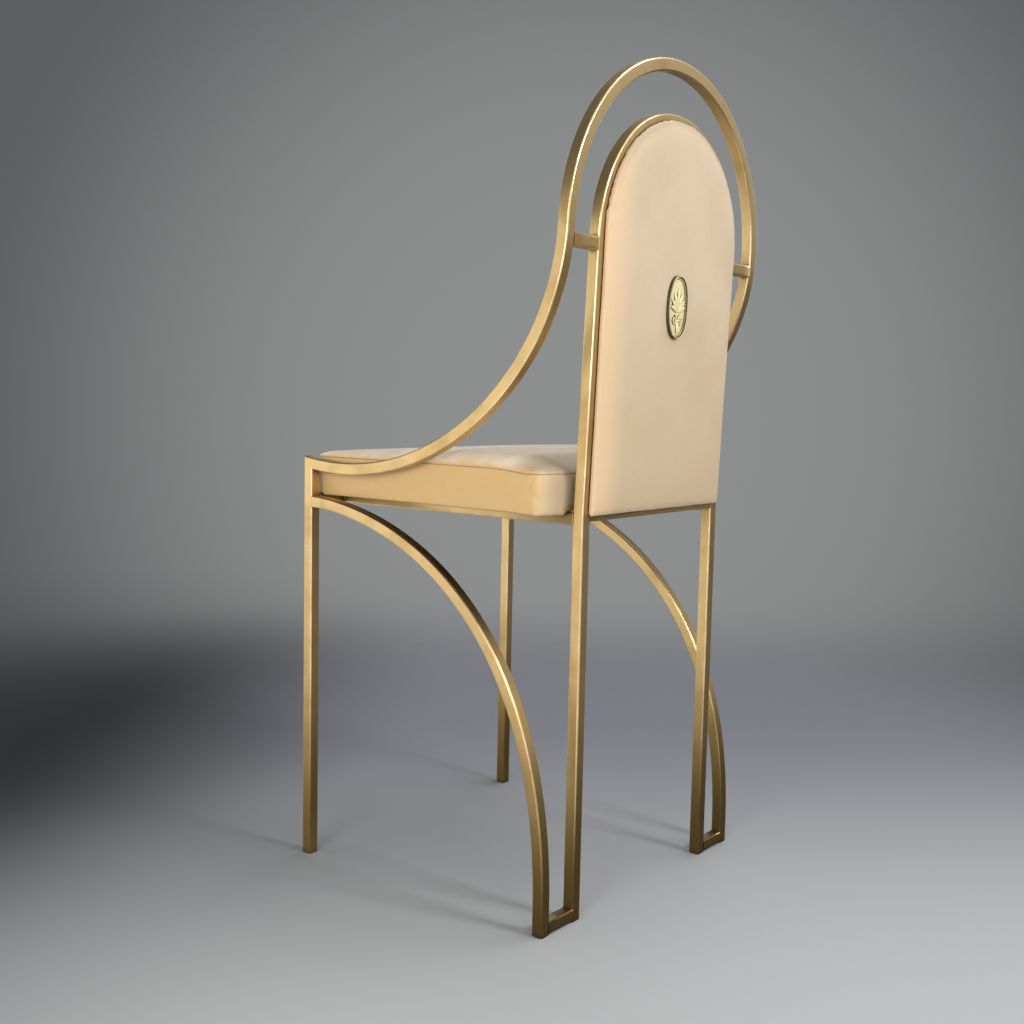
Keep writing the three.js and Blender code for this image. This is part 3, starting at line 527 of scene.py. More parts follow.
@dataclass(frozen=True)
class Plywood(Finish):
    """Raw plywood with long grain across the chair and darker glue lines."""

    grain: Colour = linear(158, 118, 74)
    grain_stretch: tuple[float, float, float] = (5.0, 70.0, 260.0)
    grain_depth: float = 0.2 * MM

    def vary(self, board: NodeBoard) -> dict:
        """Grain stretched along X.

        Args:
            board: The material's nodes.

        Returns:
            Colour and normal by shader input.
        """
        along = board.stretched(board.own_place(), self.grain_stretch)
        grain = board.speckle(along, 3.0, 6.0)
        colour = board.blend(board.ramp(grain, 0.35, 0.65, 0.0, 0.8), self.colour, self.grain)
        return {"Base Color": colour, "Normal": board.bump(grain, self.grain_depth, 0.3)}


@dataclass(frozen=True)
class DustCloth(Finish):
    """Thin woven black cloth."""

    raised: Colour = linear(46, 45, 43)
    thread_scale: float = 1400.0
    thread_depth: float = 0.2 * MM

    def vary(self, board: NodeBoard) -> dict:
        """Threads in two directions.

        Args:
            board: The material's nodes.

        Returns:
            Colour and normal by shader input.
        """
        place = board.own_place()
        threads = []
        for scale in ((self.thread_scale, 0.0, 0.0), (0.0, self.thread_scale, 0.0)):
            inputs = {"Vector": board.stretched(place, scale), "Scale": 1.0, "Distortion": 0.4}
            threads.append(board.add("TexWave", inputs).outputs["Fac"])
        weave = board.math("MAXIMUM", *threads)
        colour = board.blend(weave, self.colour, self.raised)
        return {"Base Color": colour, "Normal": board.bump(weave, self.thread_depth, 0.5)}


@dataclass(frozen=True)
class MouldedPlastic(Finish):
    """Moulded black plastic with a fine spark-eroded skin."""

    skin_depth: float = 0.08 * MM

    def vary(self, board: NodeBoard) -> dict:
        """A fine even texture.

        Args:
            board: The material's nodes.

        Returns:
            Roughness and normal by shader input.
        """
        skin = board.speckle(board.own_place(), 1500.0, 3.0)
        rough = board.ramp(skin, 0.3, 0.7, self.roughness - 0.06, self.roughness + 0.08)
        return {"Roughness": rough, "Normal": board.bump(skin, self.skin_depth, 0.4)}


@dataclass(frozen=True)
class ZincSteel(Finish):
    """Bright zinc plate with faint yellow clouds."""

    yellow: Colour = linear(206, 200, 176)

    def vary(self, board: NodeBoard) -> dict:
        """Clouds of tint and roughness.

        Args:
            board: The material's nodes.

        Returns:
            Colour and roughness by shader input.
        """
        clouds = board.speckle(board.own_place(), 300.0, 3.0)
        colour = board.blend(clouds, self.colour, self.yellow)
        rough = board.ramp(clouds, 0.3, 0.7, self.roughness - 0.08, self.roughness + 0.1)
        return {"Base Color": colour, "Roughness": rough}


FINISHES: dict[Slot, Finish] = {
    Slot.BRASS: SatinBrass("satin_brass", linear(210, 182, 128), 0.38, metallic=1.0),
    Slot.CAST_BRASS: CastBrass("polished_cast_brass", linear(255, 240, 184), 0.22, metallic=0.2),
    Slot.LEATHER: Leather("beige_leather", linear(222, 201, 172), 0.48, specular=0.45),
    Slot.FOAM: Finish("white_foam", linear(232, 224, 204), 0.95),
    Slot.PLYWOOD: Plywood("raw_plywood", linear(199, 159, 107), 0.78),
    Slot.BLACK_CLOTH: DustCloth("black_dust_cloth", linear(24, 23, 22), 0.92),
    Slot.BLACK_PLASTIC: MouldedPlastic("moulded_black_plastic", linear(30, 29, 27), 0.5),
    Slot.ZINC_STEEL: ZincSteel("bright_zinc_plate", linear(188, 191, 194), 0.34, metallic=1.0),
}


def dress(piece: bpy.types.Object, slot: Slot) -> None:
    """Gives an object the finish of a slot in place of whatever it had."""
    piece.data.materials.clear()
    piece.data.materials.append(FINISHES[slot].material())


def put_in_scene(bm: bmesh.types.BMesh, name: str) -> bpy.types.Object:
    """Turns a bmesh into an object of the scene and frees the bmesh.

    Args:
        bm: The shape.
        name: Name of the object and its mesh.

    Returns:
        The object, at the origin.
    """
    mesh = bpy.data.meshes.new(name)
    bm.to_mesh(mesh)
    bm.free()
    piece = bpy.data.objects.new(name, mesh)
    bpy.context.scene.collection.objects.link(piece)
    return piece


def new_verts(made: Sequence) -> list[bmesh.types.BMVert]:
    """The vertices among what an operator made."""
    return [item for item in made if isinstance(item, bmesh.types.BMVert)]


def new_faces(made: Sequence) -> list[bmesh.types.BMFace]:
    """The faces among what an operator made."""
    return [item for item in made if isinstance(item, bmesh.types.BMFace)]


def declare(piece: bpy.types.Object, slot: Slot, nodes: Iterable[str]) -> None:
    """Says on which body a piece rides, which slot it takes and which nodes it stands for.

    Args:
        piece: The finished piece.
        slot: Its material slot.
        nodes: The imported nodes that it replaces.
    """
    dress(piece, slot)
    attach(piece, BODY)
    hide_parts(*nodes)
    log.info("%s: %d faces for %s", piece.name, len(piece.data.polygons), ", ".join(nodes))


def middle(node: str) -> Vector:
    """Middle of a node's box."""
    low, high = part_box(node)
    return (low + high) / 2


@dataclass
class Layout:
    """Sizes and places shared by the chair's parts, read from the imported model."""

    rake: float = math.radians(2.25)
    weld_gap: float = 0.3 * MM
    fit_gap: float = 0.3 * MM
    half: float = field(init=False)
    side_x: float = field(init=False)
    post_x: float = field(init=False)
    leg_y: float = field(init=False)
    back_y: float = field(init=False)
    foot_z: float = field(init=False)
    leg_top: float = field(init=False)
    rail_z: float = field(init=False)
    rear_rail_z: float = field(init=False)
    brace_z: float = field(init=False)
    spring_run: float = field(init=False)
    arch_run: float = field(init=False)
    link_run: float = field(init=False)

    def __post_init__(self) -> None:
        """Reads the sizes from the nodes' boxes."""
        leg_low, leg_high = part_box("front_leg_left")
        self.half = (leg_high.x - leg_low.x) / 2
        self.side_x = middle("front_leg_left").x
        self.post_x = middle("side_rail_left").x
        self.leg_y = middle("front_leg_left").y
        self.back_y = middle("foot_link_left").y
        self.foot_z = leg_low.z
        self.leg_top = leg_high.z
        self.rail_z = middle("side_rail_left").z
        self.rear_rail_z = middle("rear_rail").z
        self.brace_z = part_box("arc_brace_left")[1].z - self.half
        self.spring_run = self.springing("hoop_crown", self.side_x)
        self.arch_run = self.springing("arch_crown", self.post_x)
        self.link_run = (middle("back_link_left").z - self.rail_z) / math.cos(self.rake)

    def springing(self, node: str, radius: float) -> float:
        """Distance up the rake from the rails to the springing of a half-round crown.

        Args:
            node: The crown's node.
            radius: Radius of its middle line.

        Returns:
            The distance in metres.
        """
        tilt = self.half * math.sin(self.rake)
        top = (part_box(node)[1].z - self.rail_z - tilt) / math.cos(self.rake)
        return top - radius - self.half

    @property
    def back_plane(self) -> Matrix:
        """Plane of the back: X across the chair, Y to the rear, Z up the rake from the rails."""
        foot = Matrix.Translation((0, self.back_y, self.rail_z))
        return foot @ Matrix.Rotation(-self.rake, 4, "X")

    @property
    def up_rake(self) -> Vector:
        """Direction up the rake."""
        return Vector((0, math.sin(self.rake), math.cos(self.rake)))


@dataclass
class Station:
    """A place along a tube: its middle, its direction and the section's side axis."""

    centre: Vector
    along: Vector
    across: Vector
    swell: float = 1.0
    cut: Optional[Vector] = None

    @property
    def matrix(self) -> Matrix:
        """Places the section here, sheared onto the plane of the cut if there is one.

        Returns:
            The matrix from the section's own XY plane.
        """
        along = self.along.normalized()
        across = self.across.normalized()
        rise = along.cross(across)
        axes = [across * self.swell, rise * self.swell]
        if self.cut is not None:
            axes = [axis - along * (axis.dot(self.cut) / along.dot(self.cut)) for axis in axes]
        columns = [*axes, along, self.centre]
        return Matrix([[*(column[i] for column in columns)] for i in range(3)] + [[0, 0, 0, 1]])


def bezier_stations(points: Sequence[Vector], across: Vector, steps: int) -> list[Station]:
    """Stations along a cubic curve, evenly spaced in its parameter.

    Args:
        points: Start, first handle, second handle and end.
        across: Side axis of the section.
        steps: Number of steps.

    Returns:
        One station more than there are steps.
    """
    a, b, c, d = points
    stations = []
    for i in range(steps + 1):
        t = i / steps
        s = 1 - t
        centre = a * s**3 + b * 3 * s * s * t + c * 3 * s * t * t + d * t**3
        along = (b - a) * s * s + (c - b) * 2 * s * t + (d - c) * t * t
        stations.append(Station(centre, along, across))
    return stations


@dataclass
class TubeStock:
    """Square brass tube with rounded corners and a square bore, drawn along stations."""

    half: float
    wall: float = 1.2 * MM
    corner: float = 2.1 * MM
    corner_segments: int = 4
    weld_leg: float = 0.4 * MM
    weld_root: float = 0.8 * MM
    weld_hollow: tuple[float, float] = (0.45, 0.3)
    sharp_angle: float = math.radians(50)

    MAP = "drawn"
    EDGE = "edge"

    def section(self, bm: bmesh.types.BMesh) -> list[bmesh.types.BMFace]:
        """Makes the section in the XY plane, a ring of faces round the bore.

        Args:
            bm: Bmesh that takes it.

        Returns:
            The ring's faces.
        """
        made = bmesh.ops.create_grid(bm, x_segments=1, y_segments=1, size=self.half)
        bmesh.ops.bevel(
            bm,
            geom=made["verts"],
            offset=self.corner,
            segments=self.corner_segments,
            profile=0.5,
            affect="VERTICES",
            material=-1,
        )
        face = bm.faces[:][0]
        ring = bmesh.ops.inset_region(
            bm, faces=[face], thickness=self.wall, use_even_offset=True, use_boundary=True
        )
        bmesh.ops.delete(bm, geom=[face], context="FACES_ONLY")
        return ring["faces"]

    def welded(self, stations: list[Station], start: bool, end: bool) -> list[Station]:
        """Adds a small concave fillet, and its root in the neighbour, at the chosen ends.

        Args:
            stations: The tube's stations.
            start: Fillet at the first station.
            end: Fillet at the last station.

        Returns:
            The longer list of stations.
        """
        back, share = self.weld_hollow
        flare = 1 + self.weld_leg / self.half
        slight = 1 + share * self.weld_leg / self.half

        def fillet(place: Station, way: float) -> list[Station]:
            """From the tube's own width to the flared root, in the direction of the neighbour.

            Args:
                place: The tube's end station.
                way: 1 at the tube's end and -1 at its start.

            Returns:
                The end station and the fillet's, in the direction of the neighbour.
            """
            out = place.along.normalized() * way
            rows = (
                (-self.weld_leg, 1.0),
                (-self.weld_leg * back, slight),
                (0.0, flare),
                (self.weld_root, flare),
            )
            return [
                Station(place.centre + out * ahead, place.along, place.across, swell)
                for ahead, swell in rows
            ]

        path = list(stations)
        if start:
            path[:1] = reversed(fillet(path[0], -1.0))
        if end:
            path[-1:] = fillet(path[-1], 1.0)
        return path

    def draw(
        self,
        name: str,
        stations: list[Station],
        weld_start: bool = False,
        weld_end: bool = False,
    ) -> bpy.types.Object:
        """Draws the tube.

        Args:
            name: Name of the piece.
            stations: Places along its middle line, in order.
            weld_start: Whether it butts on a neighbour at its start.
            weld_end: Whether it butts on a neighbour at its end.

        Returns:
            The tube as an object with its own map, edge attribute and flat-sided shading.
        """
        path = self.welded(stations, weld_start, weld_end)
        bm = bmesh.new()
        faces = self.section(bm)
        side_u = bm.verts.layers.float.new("section_u")
        side_v = bm.verts.layers.float.new("section_v")
        run = bm.verts.layers.float.new("run")
        for vert in bm.verts:
            vert[side_u], vert[side_v] = vert.co.x, vert.co.y
        here = path[0].matrix
        bmesh.ops.transform(bm, matrix=here, verts=bm.verts[:])
        length = 0.0
        for before, after in zip(path, path[1:]):
            made = bmesh.ops.extrude_face_region(bm, geom=faces)["geom"]
            faces = new_faces(made)
            verts = new_verts(made)
            there = after.matrix
            bmesh.ops.transform(bm, matrix=there @ here.inverted(), verts=verts)
            here = there
            length += (after.centre - before.centre).length
            for vert in verts:
                vert[run] = length
        bmesh.ops.recalc_face_normals(bm, faces=bm.faces[:])
        self.map_faces(bm, side_u, side_v, run)
        piece = put_in_scene(bm, name)
        shading = piece.modifiers.new("Flat sides", "WEIGHTED_NORMAL")
        shading.keep_sharp = True
        return piece

    def map_faces(
        self,
        bm: bmesh.types.BMesh,
        side_u: bmesh.types.BMLayerItem,
        side_v: bmesh.types.BMLayerItem,
        run: bmesh.types.BMLayerItem,
    ) -> None:
        """Lays the map along and around the tube, and marks rounded corners and end edges.

        Args:
            bm: The tube.
            side_u: Layer with the section's first coordinate.
            side_v: Layer with its second.
            run: Layer with the length along the tube.
        """
        drawn = bm.loops.layers.uv.new(self.MAP)
        edge = bm.verts.layers.float.new(self.EDGE)
        girth = 8 * self.half
        flat = self.half - self.corner
        for vert in bm.verts:
            past = min(abs(vert[side_u]), abs(vert[side_v])) - flat
            vert[edge] = 1.0 if past > 0.05 * self.corner else 0.0
        for face in bm.faces:
            face.smooth = True
            around = [math.atan2(loop.vert[side_v], loop.vert[side_u]) for loop in face.loops]
            if max(around) - min(around) > math.pi:
                around = [angle + 2 * math.pi if angle < 0 else angle for angle in around]
            for loop, angle in zip(face.loops, around):
                loop[drawn].uv = (loop.vert[run], angle / (2 * math.pi) * girth)
        for item in bm.edges:
            if len(item.link_faces) == 2 and item.calc_face_angle() > self.sharp_angle:
                item.smooth = False


@dataclass
class BrassFrame:
    """The welded frame: legs, sweeps, hoop, posts, arch, braces, rails and links."""

    plan: Layout
    dip: float = math.radians(8.8)
    sweep_lead_share: float = 0.59
    sweep_rise_share: float = 0.5625
    brace_lead_share: float = 0.13
    brace_rise_share: float = 0.933
    brace_straight: float = 31.5 * MM
    curve_steps: int = 56
    crown_steps: int = 88
    leg_shares: tuple[float, ...] = (0.0, 0.33, 0.66, 0.94)
    mitre_reach: float = 1.2
    curve_reach: float = 1.6
    stock: TubeStock = field(init=False)

    def __post_init__(self) -> None:
        """Takes the tube's size from the layout."""
        self.stock = TubeStock(self.plan.half)

    def build(self) -> None:
        """Builds and declares every tube."""
        for hand, side in HANDS:
            x = side * self.plan.side_x
            self.finish(f"front_leg_{hand}", self.leg(x))
            self.finish(f"sweep_{hand}", self.sweep(x))
            self.finish(f"arc_brace_{hand}", self.brace(x), weld_start=True)
            self.finish(f"rear_post_{hand}", self.post(side * self.plan.post_x))
            self.finish(f"foot_link_{hand}", self.foot_link(side), weld_start=True, weld_end=True)
            self.finish(f"back_link_{hand}", self.back_link(side), weld_start=True, weld_end=True)
            self.finish(f"side_rail_{hand}", self.side_rail(side), weld_start=True, weld_end=True)
        self.finish("hoop_crown", self.crown(self.plan.side_x, self.plan.spring_run))
        self.finish("arch_crown", self.crown(self.plan.post_x, self.plan.arch_run))
        self.finish("front_rail", self.front_rail(), weld_start=True, weld_end=True)
        self.finish("rear_rail", self.rear_rail(), weld_start=True, weld_end=True)

    def finish(self, node: str, stations: list[Station], **welds: bool) -> None:
        """Draws a tube in place of its node."""
        declare(self.stock.draw(f"brass_{node}", stations, **welds), Slot.BRASS, [node])

    @property
    def dip_way(self) -> Vector:
        """Direction in which a sweep leaves its leg."""
        return Vector((0, math.cos(self.dip), -math.sin(self.dip)))

    def sweep_start(self, x: float) -> Vector:
        """Where the middle lines of a leg and its sweep meet.

        Args:
            x: Place across the chair.

        Returns:
            The meeting point.
        """
        plan = self.plan
        drop = plan.half / math.cos(self.dip) + plan.half * math.tan(self.dip)
        top = plan.leg_top + plan.weld_gap / math.sqrt(2)
        return Vector((x, plan.leg_y, top - drop))

    def leg(self, x: float) -> list[Station]:
        """Upright front leg with its mitred head.

        Args:
            x: Place across the chair.

        Returns:
            Stations from the foot up.
        """
        head = self.sweep_start(x)
        mitre = (Z_AXIS + self.dip_way).normalized()
        foot = Vector((x, self.plan.leg_y, self.plan.foot_z))
        rows = [Station(foot.lerp(head, share), Z_AXIS, X_AXIS) for share in self.leg_shares]
        return [*rows, Station(head, Z_AXIS, X_AXIS, cut=mitre)]

    def sweep(self, x: float) -> list[Station]:
        """Curved tube from the leg's head back and up to the hoop.

        Args:
            x: Place across the chair.

        Returns:
            Stations from the leg to the hoop.
        """
        plan = self.plan
        start = self.sweep_start(x)
        end = plan.back_plane @ Vector((x, 0, plan.spring_run))
        lead = self.sweep_lead_share * (plan.back_y - plan.leg_y)
        rise = self.sweep_rise_share * (end.z - start.z)
        handles = (start, start + self.dip_way * lead, end - plan.up_rake * rise, end)
        rows = bezier_stations(handles, X_AXIS, self.curve_steps)
        mitre = (Z_AXIS + self.dip_way).normalized()
        clear = Station(start + self.dip_way * self.mitre_reach * plan.half, self.dip_way, X_AXIS)
        past = self.curve_reach * plan.half
        later = [row for row in rows if (row.centre - start).length > past]
        return [Station(start, self.dip_way, X_AXIS, cut=mitre), clear, *later]

    def brace(self, x: float) -> list[Station]:
        """Arc from the front leg down to a foot beside the rear post.

        Args:
            x: Place across the chair.

        Returns:
            Stations from the leg down to the foot.
        """
        plan = self.plan
        start = Vector((x, plan.leg_y + plan.half, plan.brace_z))
        ankle = Vector((x, plan.back_y, self.brace_straight))
        lead = self.brace_lead_share * (plan.back_y - plan.leg_y)
        rise = self.brace_rise_share * (plan.brace_z - self.brace_straight)
        handles = (start, start + Y_AXIS * lead, ankle + Z_AXIS * rise, ankle)
        foot = Vector((x, plan.back_y, plan.foot_z))
        rows = bezier_stations(handles, X_AXIS, self.curve_steps)
        return [*rows, Station(foot, -Z_AXIS, X_AXIS)]

    def post(self, x: float) -> list[Station]:
        """Rear post, upright to the rails and then up the rake.

        Args:
            x: Place across the chair.

        Returns:
            Stations from the foot up.
        """
        plan = self.plan
        foot = Vector((x, plan.back_y, plan.foot_z))
        bend = Vector((x, plan.back_y, plan.rail_z))
        head = plan.back_plane @ Vector((x, 0, plan.arch_run))
        near = bend - Z_AXIS * plan.half
        past = bend + plan.up_rake * plan.half
        turn = Z_AXIS + plan.up_rake
        return [
            Station(foot, Z_AXIS, X_AXIS),
            Station(foot.lerp(near, 0.5), Z_AXIS, X_AXIS),
            Station(near, Z_AXIS, X_AXIS),
            Station(bend, turn, X_AXIS),
            Station(past, plan.up_rake, X_AXIS),
            Station(past.lerp(head, 0.5), plan.up_rake, X_AXIS),
            Station(head, plan.up_rake, X_AXIS),
        ]

    def crown(self, radius: float, springing: float) -> list[Station]:
        """Half round over its springing line, in the plane of the back.

        Args:
            radius: Radius of the middle line.
            springing: Distance up the rake to the springing line.

        Returns:
            Stations from the sitter's left to the right.
        """
        plane = self.plan.back_plane
        turn = plane.to_3x3()
        rows = []
        for i in range(self.crown_steps + 1):
            angle = math.pi * i / self.crown_steps
            place = Vector((radius * math.cos(angle), 0, springing + radius * math.sin(angle)))
            along = Vector((-math.sin(angle), 0, math.cos(angle)))
            rows.append(Station(plane @ place, turn @ along, turn @ Y_AXIS))
        return rows

    def across(self, start: Vector, end: Vector, side_axis: Vector) -> list[Station]:
        """Straight tube between two points.

        Args:
            start: First end.
            end: Other end.
            side_axis: Side axis of the section.

        Returns:
            Stations at both ends and half way.
        """
        way = end - start
        return [Station(start.lerp(end, share), way, side_axis) for share in (0.0, 0.5, 1.0)]

    def link_ends(self, side: float) -> tuple[float, float]:
        """Both ends of a link, across the chair."""
        plan = self.plan
        return side * (plan.post_x + plan.half), side * (plan.side_x - plan.half)

    def foot_link(self, side: float) -> list[Station]:
        """Short tube on the floor between the brace's foot and the post's.

        Args:
            side: 1 on the sitter's left and -1 on the right.

        Returns:
            Stations outwards.
        """
        z = self.plan.foot_z + self.plan.half
        start, end = (Vector((x, self.plan.back_y, z)) for x in self.link_ends(side))
        return self.across(start, end, Y_AXIS)

    def back_link(self, side: float) -> list[Station]:
        """Short tube between the sweep's top and the post's top.

        Args:
            side: 1 on the sitter's left and -1 on the right.

        Returns:
            Stations outwards.
        """
        plane = self.plan.back_plane
        start, end = (plane @ Vector((x, 0, self.plan.link_run)) for x in self.link_ends(side))
        return self.across(start, end, plane.to_3x3() @ Y_AXIS)

    def side_rail(self, side: float) -> list[Station]:
        """Rail under the side of the seat.

        Args:
            side: 1 on the sitter's left and -1 on the right.

        Returns:
            Stations from the front to the rear.
        """
        plan = self.plan
        x = side * plan.post_x
        start = Vector((x, plan.leg_y + plan.half, plan.rail_z))
        end = Vector((x, plan.back_y - plan.half, plan.rail_z))
        return self.across(start, end, X_AXIS)

    def front_rail(self) -> list[Station]:
        """Rail between the front legs.

        Returns:
            Stations from the sitter's right to the left.
        """
        plan = self.plan
        reach = plan.side_x - plan.half
        start, end = (Vector((x, plan.leg_y, plan.rail_z)) for x in (-reach, reach))
        return self.across(start, end, Y_AXIS)

    def rear_rail(self) -> list[Station]:
        """Rail between the rear posts.

        Returns:
            Stations from the sitter's right to the left.
        """
        plan = self.plan
        reach = plan.post_x - plan.half
        start, end = (Vector((x, plan.back_y, plan.rear_rail_z)) for x in (-reach, reach))
        return self.across(start, end, Y_AXIS)


@dataclass
class SoftForm:
    """A padded form in its own frame, with its outline in XY and its face towards +Z."""

    name: str
    height: float
    crown: float
    crown_run: float
    edge_round: float
    draw_in: float
    swell_cap: float
    base_round: float = 1 * MM
    voxel: float = 5 * MM
    shrink: float = 1.2 * MM
    pressure: float = 4.0
    frames: int = 20
    skin_mass: float = 0.3
    stretch_stiffness: float = 18.0
    bending_stiffness: float = 0.8
    crown_power: float = 2.2
    draw_run: tuple[float, float] = (30 * MM, 4 * MM)
    bevel_segments: int = 4
    cloth_quality: int = 5
    evening: float = 0.35

    SEAM_AND_SHADE = "seam_and_shade"
    GROOVE_ROWS = (-0.5, -0.2, 0.0, 0.2, 0.5)

    def outline(self, bm: bmesh.types.BMesh) -> bmesh.types.BMFace:
        """Makes the face of the outline; each form has its own."""
        raise NotImplementedError

    def edge_distance(self, x: float, y: float) -> float:
        """Distance from a point to the outline, positive inside."""
        raise NotImplementedError

    def block(self) -> bpy.types.Object:
        """The outline raised to its shoulder, with its top and bottom edges rounded.

        Returns:
            The block as an object.
        """
        bm = bmesh.new()
        face = self.outline(bm)
        made = bmesh.ops.extrude_face_region(bm, geom=[face])["geom"]
        bmesh.ops.translate(bm, vec=(0, 0, self.height), verts=new_verts(made))
        bmesh.ops.recalc_face_normals(bm, faces=bm.faces[:])
        for level, radius in ((self.height, self.edge_round), (0.0, self.base_round)):
            rim = [
                edge
                for edge in bm.edges
                if all(abs(vert.co.z - level) < 0.1 * MM for vert in edge.verts)
            ]
            bmesh.ops.bevel(
                bm,
                geom=rim,
                offset=radius,
                segments=self.bevel_segments,
                profile=0.5,
                affect="EDGES",
                material=-1,
            )
        return put_in_scene(bm, self.name)

    def baked(self, piece: bpy.types.Object) -> None:
        """Applies the piece's modifiers to its mesh.

        Args:
            piece: The form.
        """
        evaluated = piece.evaluated_get(bpy.context.evaluated_depsgraph_get())
        mesh = bpy.data.meshes.new_from_object(evaluated)
        piece.modifiers.clear()
        old = piece.data
        piece.data = mesh
        bpy.data.meshes.remove(old)

    def remesh(self, piece: bpy.types.Object) -> None:
        """Even quads all over.

        Args:
            piece: The form.
        """
        remesh = piece.modifiers.new("Even skin", "REMESH")
        remesh.mode = "VOXEL"
        remesh.voxel_size = self.voxel
        bpy.context.view_layer.update()
        self.baked(piece)

    def shape(self, piece: bpy.types.Object) -> None:
        """Draws the sides in and raises the crown.

        Args:
            piece: The form.
        """
        for vert in piece.data.vertices:
            x, y, z = vert.co
            depth = max(0.0, self.edge_distance(x, y))
            up = min(1.0, max(0.0, z / (self.height - self.edge_round)))
            share = min(1.0, depth / self.crown_run)
            rise = self.crown * (1 - (1 - share) ** self.crown_power) * self.fullness(y)
            pull = (self.draw_in * (1 - up) ** 2 + self.shrink) * smoothstep(*self.draw_run, depth)
            inward = self.inward(x, y)
            lift = smoothstep(0.35, 1.0, up)
            vert.co = (x + inward.x * pull, y + inward.y * pull, z + rise * lift)

    def fullness(self, y: float) -> float:
        """Share of the crown that is kept at a place along the form."""
        return 1.0

    def inward(self, x: float, y: float) -> Vector:
        """Direction away from the nearest edge of the outline.

        Args:
            x: Across the form.
            y: Along the form.

        Returns:
            Unit vector, or zero where the outline is equally far all round.
        """
        step = 0.5 * MM
        slope = Vector((
            self.edge_distance(x + step, y) - self.edge_distance(x - step, y),
            self.edge_distance(x, y + step) - self.edge_distance(x, y - step),
            0.0,
        ))
        return slope.normalized() if slope.length > 0 else slope

    def inflate(self, piece: bpy.types.Object) -> None:
        """Swells the skin by cloth simulation, caps the move and keeps the base flat.

        Args:
            piece: The form.
        """
        before = [vert.co.copy() for vert in piece.data.vertices]
        cloth = piece.modifiers.new("Swell", "CLOTH")
        cloth.settings.use_pressure = True
        cloth.settings.uniform_pressure_force = self.pressure
        cloth.settings.effector_weights.gravity = 0
        cloth.settings.quality = self.cloth_quality
        cloth.settings.mass = self.skin_mass
        cloth.settings.tension_stiffness = self.stretch_stiffness
        cloth.settings.compression_stiffness = self.stretch_stiffness
        cloth.settings.bending_stiffness = self.bending_stiffness
        scene = bpy.context.scene
        for step in range(1, self.frames + 1):
            scene.frame_set(step)
        self.baked(piece)
        scene.frame_set(1)
        for vert, start in zip(piece.data.vertices, before):
            move = vert.co - start
            length = move.length
            if length > 0:
                kept = self.swell_cap * math.tanh(length / self.swell_cap)
                move *= kept / length
            move *= smoothstep(0.0, 0.3 * self.height, start.z)
            vert.co = start + move

    def detail(self, piece: bpy.types.Object) -> None:
        """Adds what is too small for the swelling; each form has its own."""

    def smooth(self, piece: bpy.types.Object, repeat: int) -> None:
        """Evens the skin without shrinking it much.

        Args:
            piece: The form.
            repeat: Number of passes.
        """
        even = piece.modifiers.new("Even", "LAPLACIANSMOOTH")
        even.iterations = repeat
        even.lambda_factor = self.evening
        even.lambda_border = 0.0
        self.baked(piece)

    def subdivide(self, piece: bpy.types.Object) -> None:
        """One subdivision, applied.

        Args:
            piece: The form.
        """
        surface = piece.modifiers.new("Finer skin", "SUBSURF")
        surface.levels = 1
        surface.render_levels = 1
        self.baked(piece)

    def groove(self, piece: bpy.types.Object, level: float, width: float, depth: float) -> None:
        """Sews a groove round the form at a level, with edge loops cut for it.

        Args:
            piece: The form.
            level: Height of the groove.
            width: Full width of it.
            depth: How deep its middle lies.
        """
        bm = bmesh.new()
        bm.from_mesh(piece.data)
        seam_and_shade = bm.verts.layers.float.get(self.SEAM_AND_SHADE) or bm.verts.layers.float.new(self.SEAM_AND_SHADE)
        for row in self.GROOVE_ROWS:
            bmesh.ops.bisect_plane(
                bm,
                geom=bm.verts[:] + bm.edges[:] + bm.faces[:],
                dist=0.01 * MM,
                plane_co=(0, 0, level + row * width),
                plane_no=(0, 0, 1),
            )
        bm.normal_update()
        moves = []
        for vert in bm.verts:
            away = abs(vert.co.z - level)
            flat = Vector((vert.normal.x, vert.normal.y, 0))
            if away < 0.52 * width and flat.length > 0.2:
                share = smoothstep(0.5 * width, 0.0, away)
                moves.append((vert, -flat.normalized() * depth * share, share))
        for vert, move, share in moves:
            vert.co += move
            vert[seam_and_shade] = share
        bm.to_mesh(piece.data)
        bm.free()

    def make(self, place: Matrix) -> bpy.types.Object:
        """Runs the whole recipe and moves the form to its place.

        Args:
            place: From the form's frame to the chair's.

        Returns:
            The finished form, with no modifier left.
        """
        piece = self.block()
        self.remesh(piece)
        self.shape(piece)
        self.smooth(piece, 3)
        self.inflate(piece)
        self.smooth(piece, 2)
        self.subdivide(piece)
        self.detail(piece)
        for face in piece.data.polygons:
            face.use_smooth = True
        piece.data.transform(place)
        return piece


@dataclass(frozen=True)
class Corner:
    """A corner of the seat's outline and the radius that rounds it."""

    x: float
    y: float
    radius: float


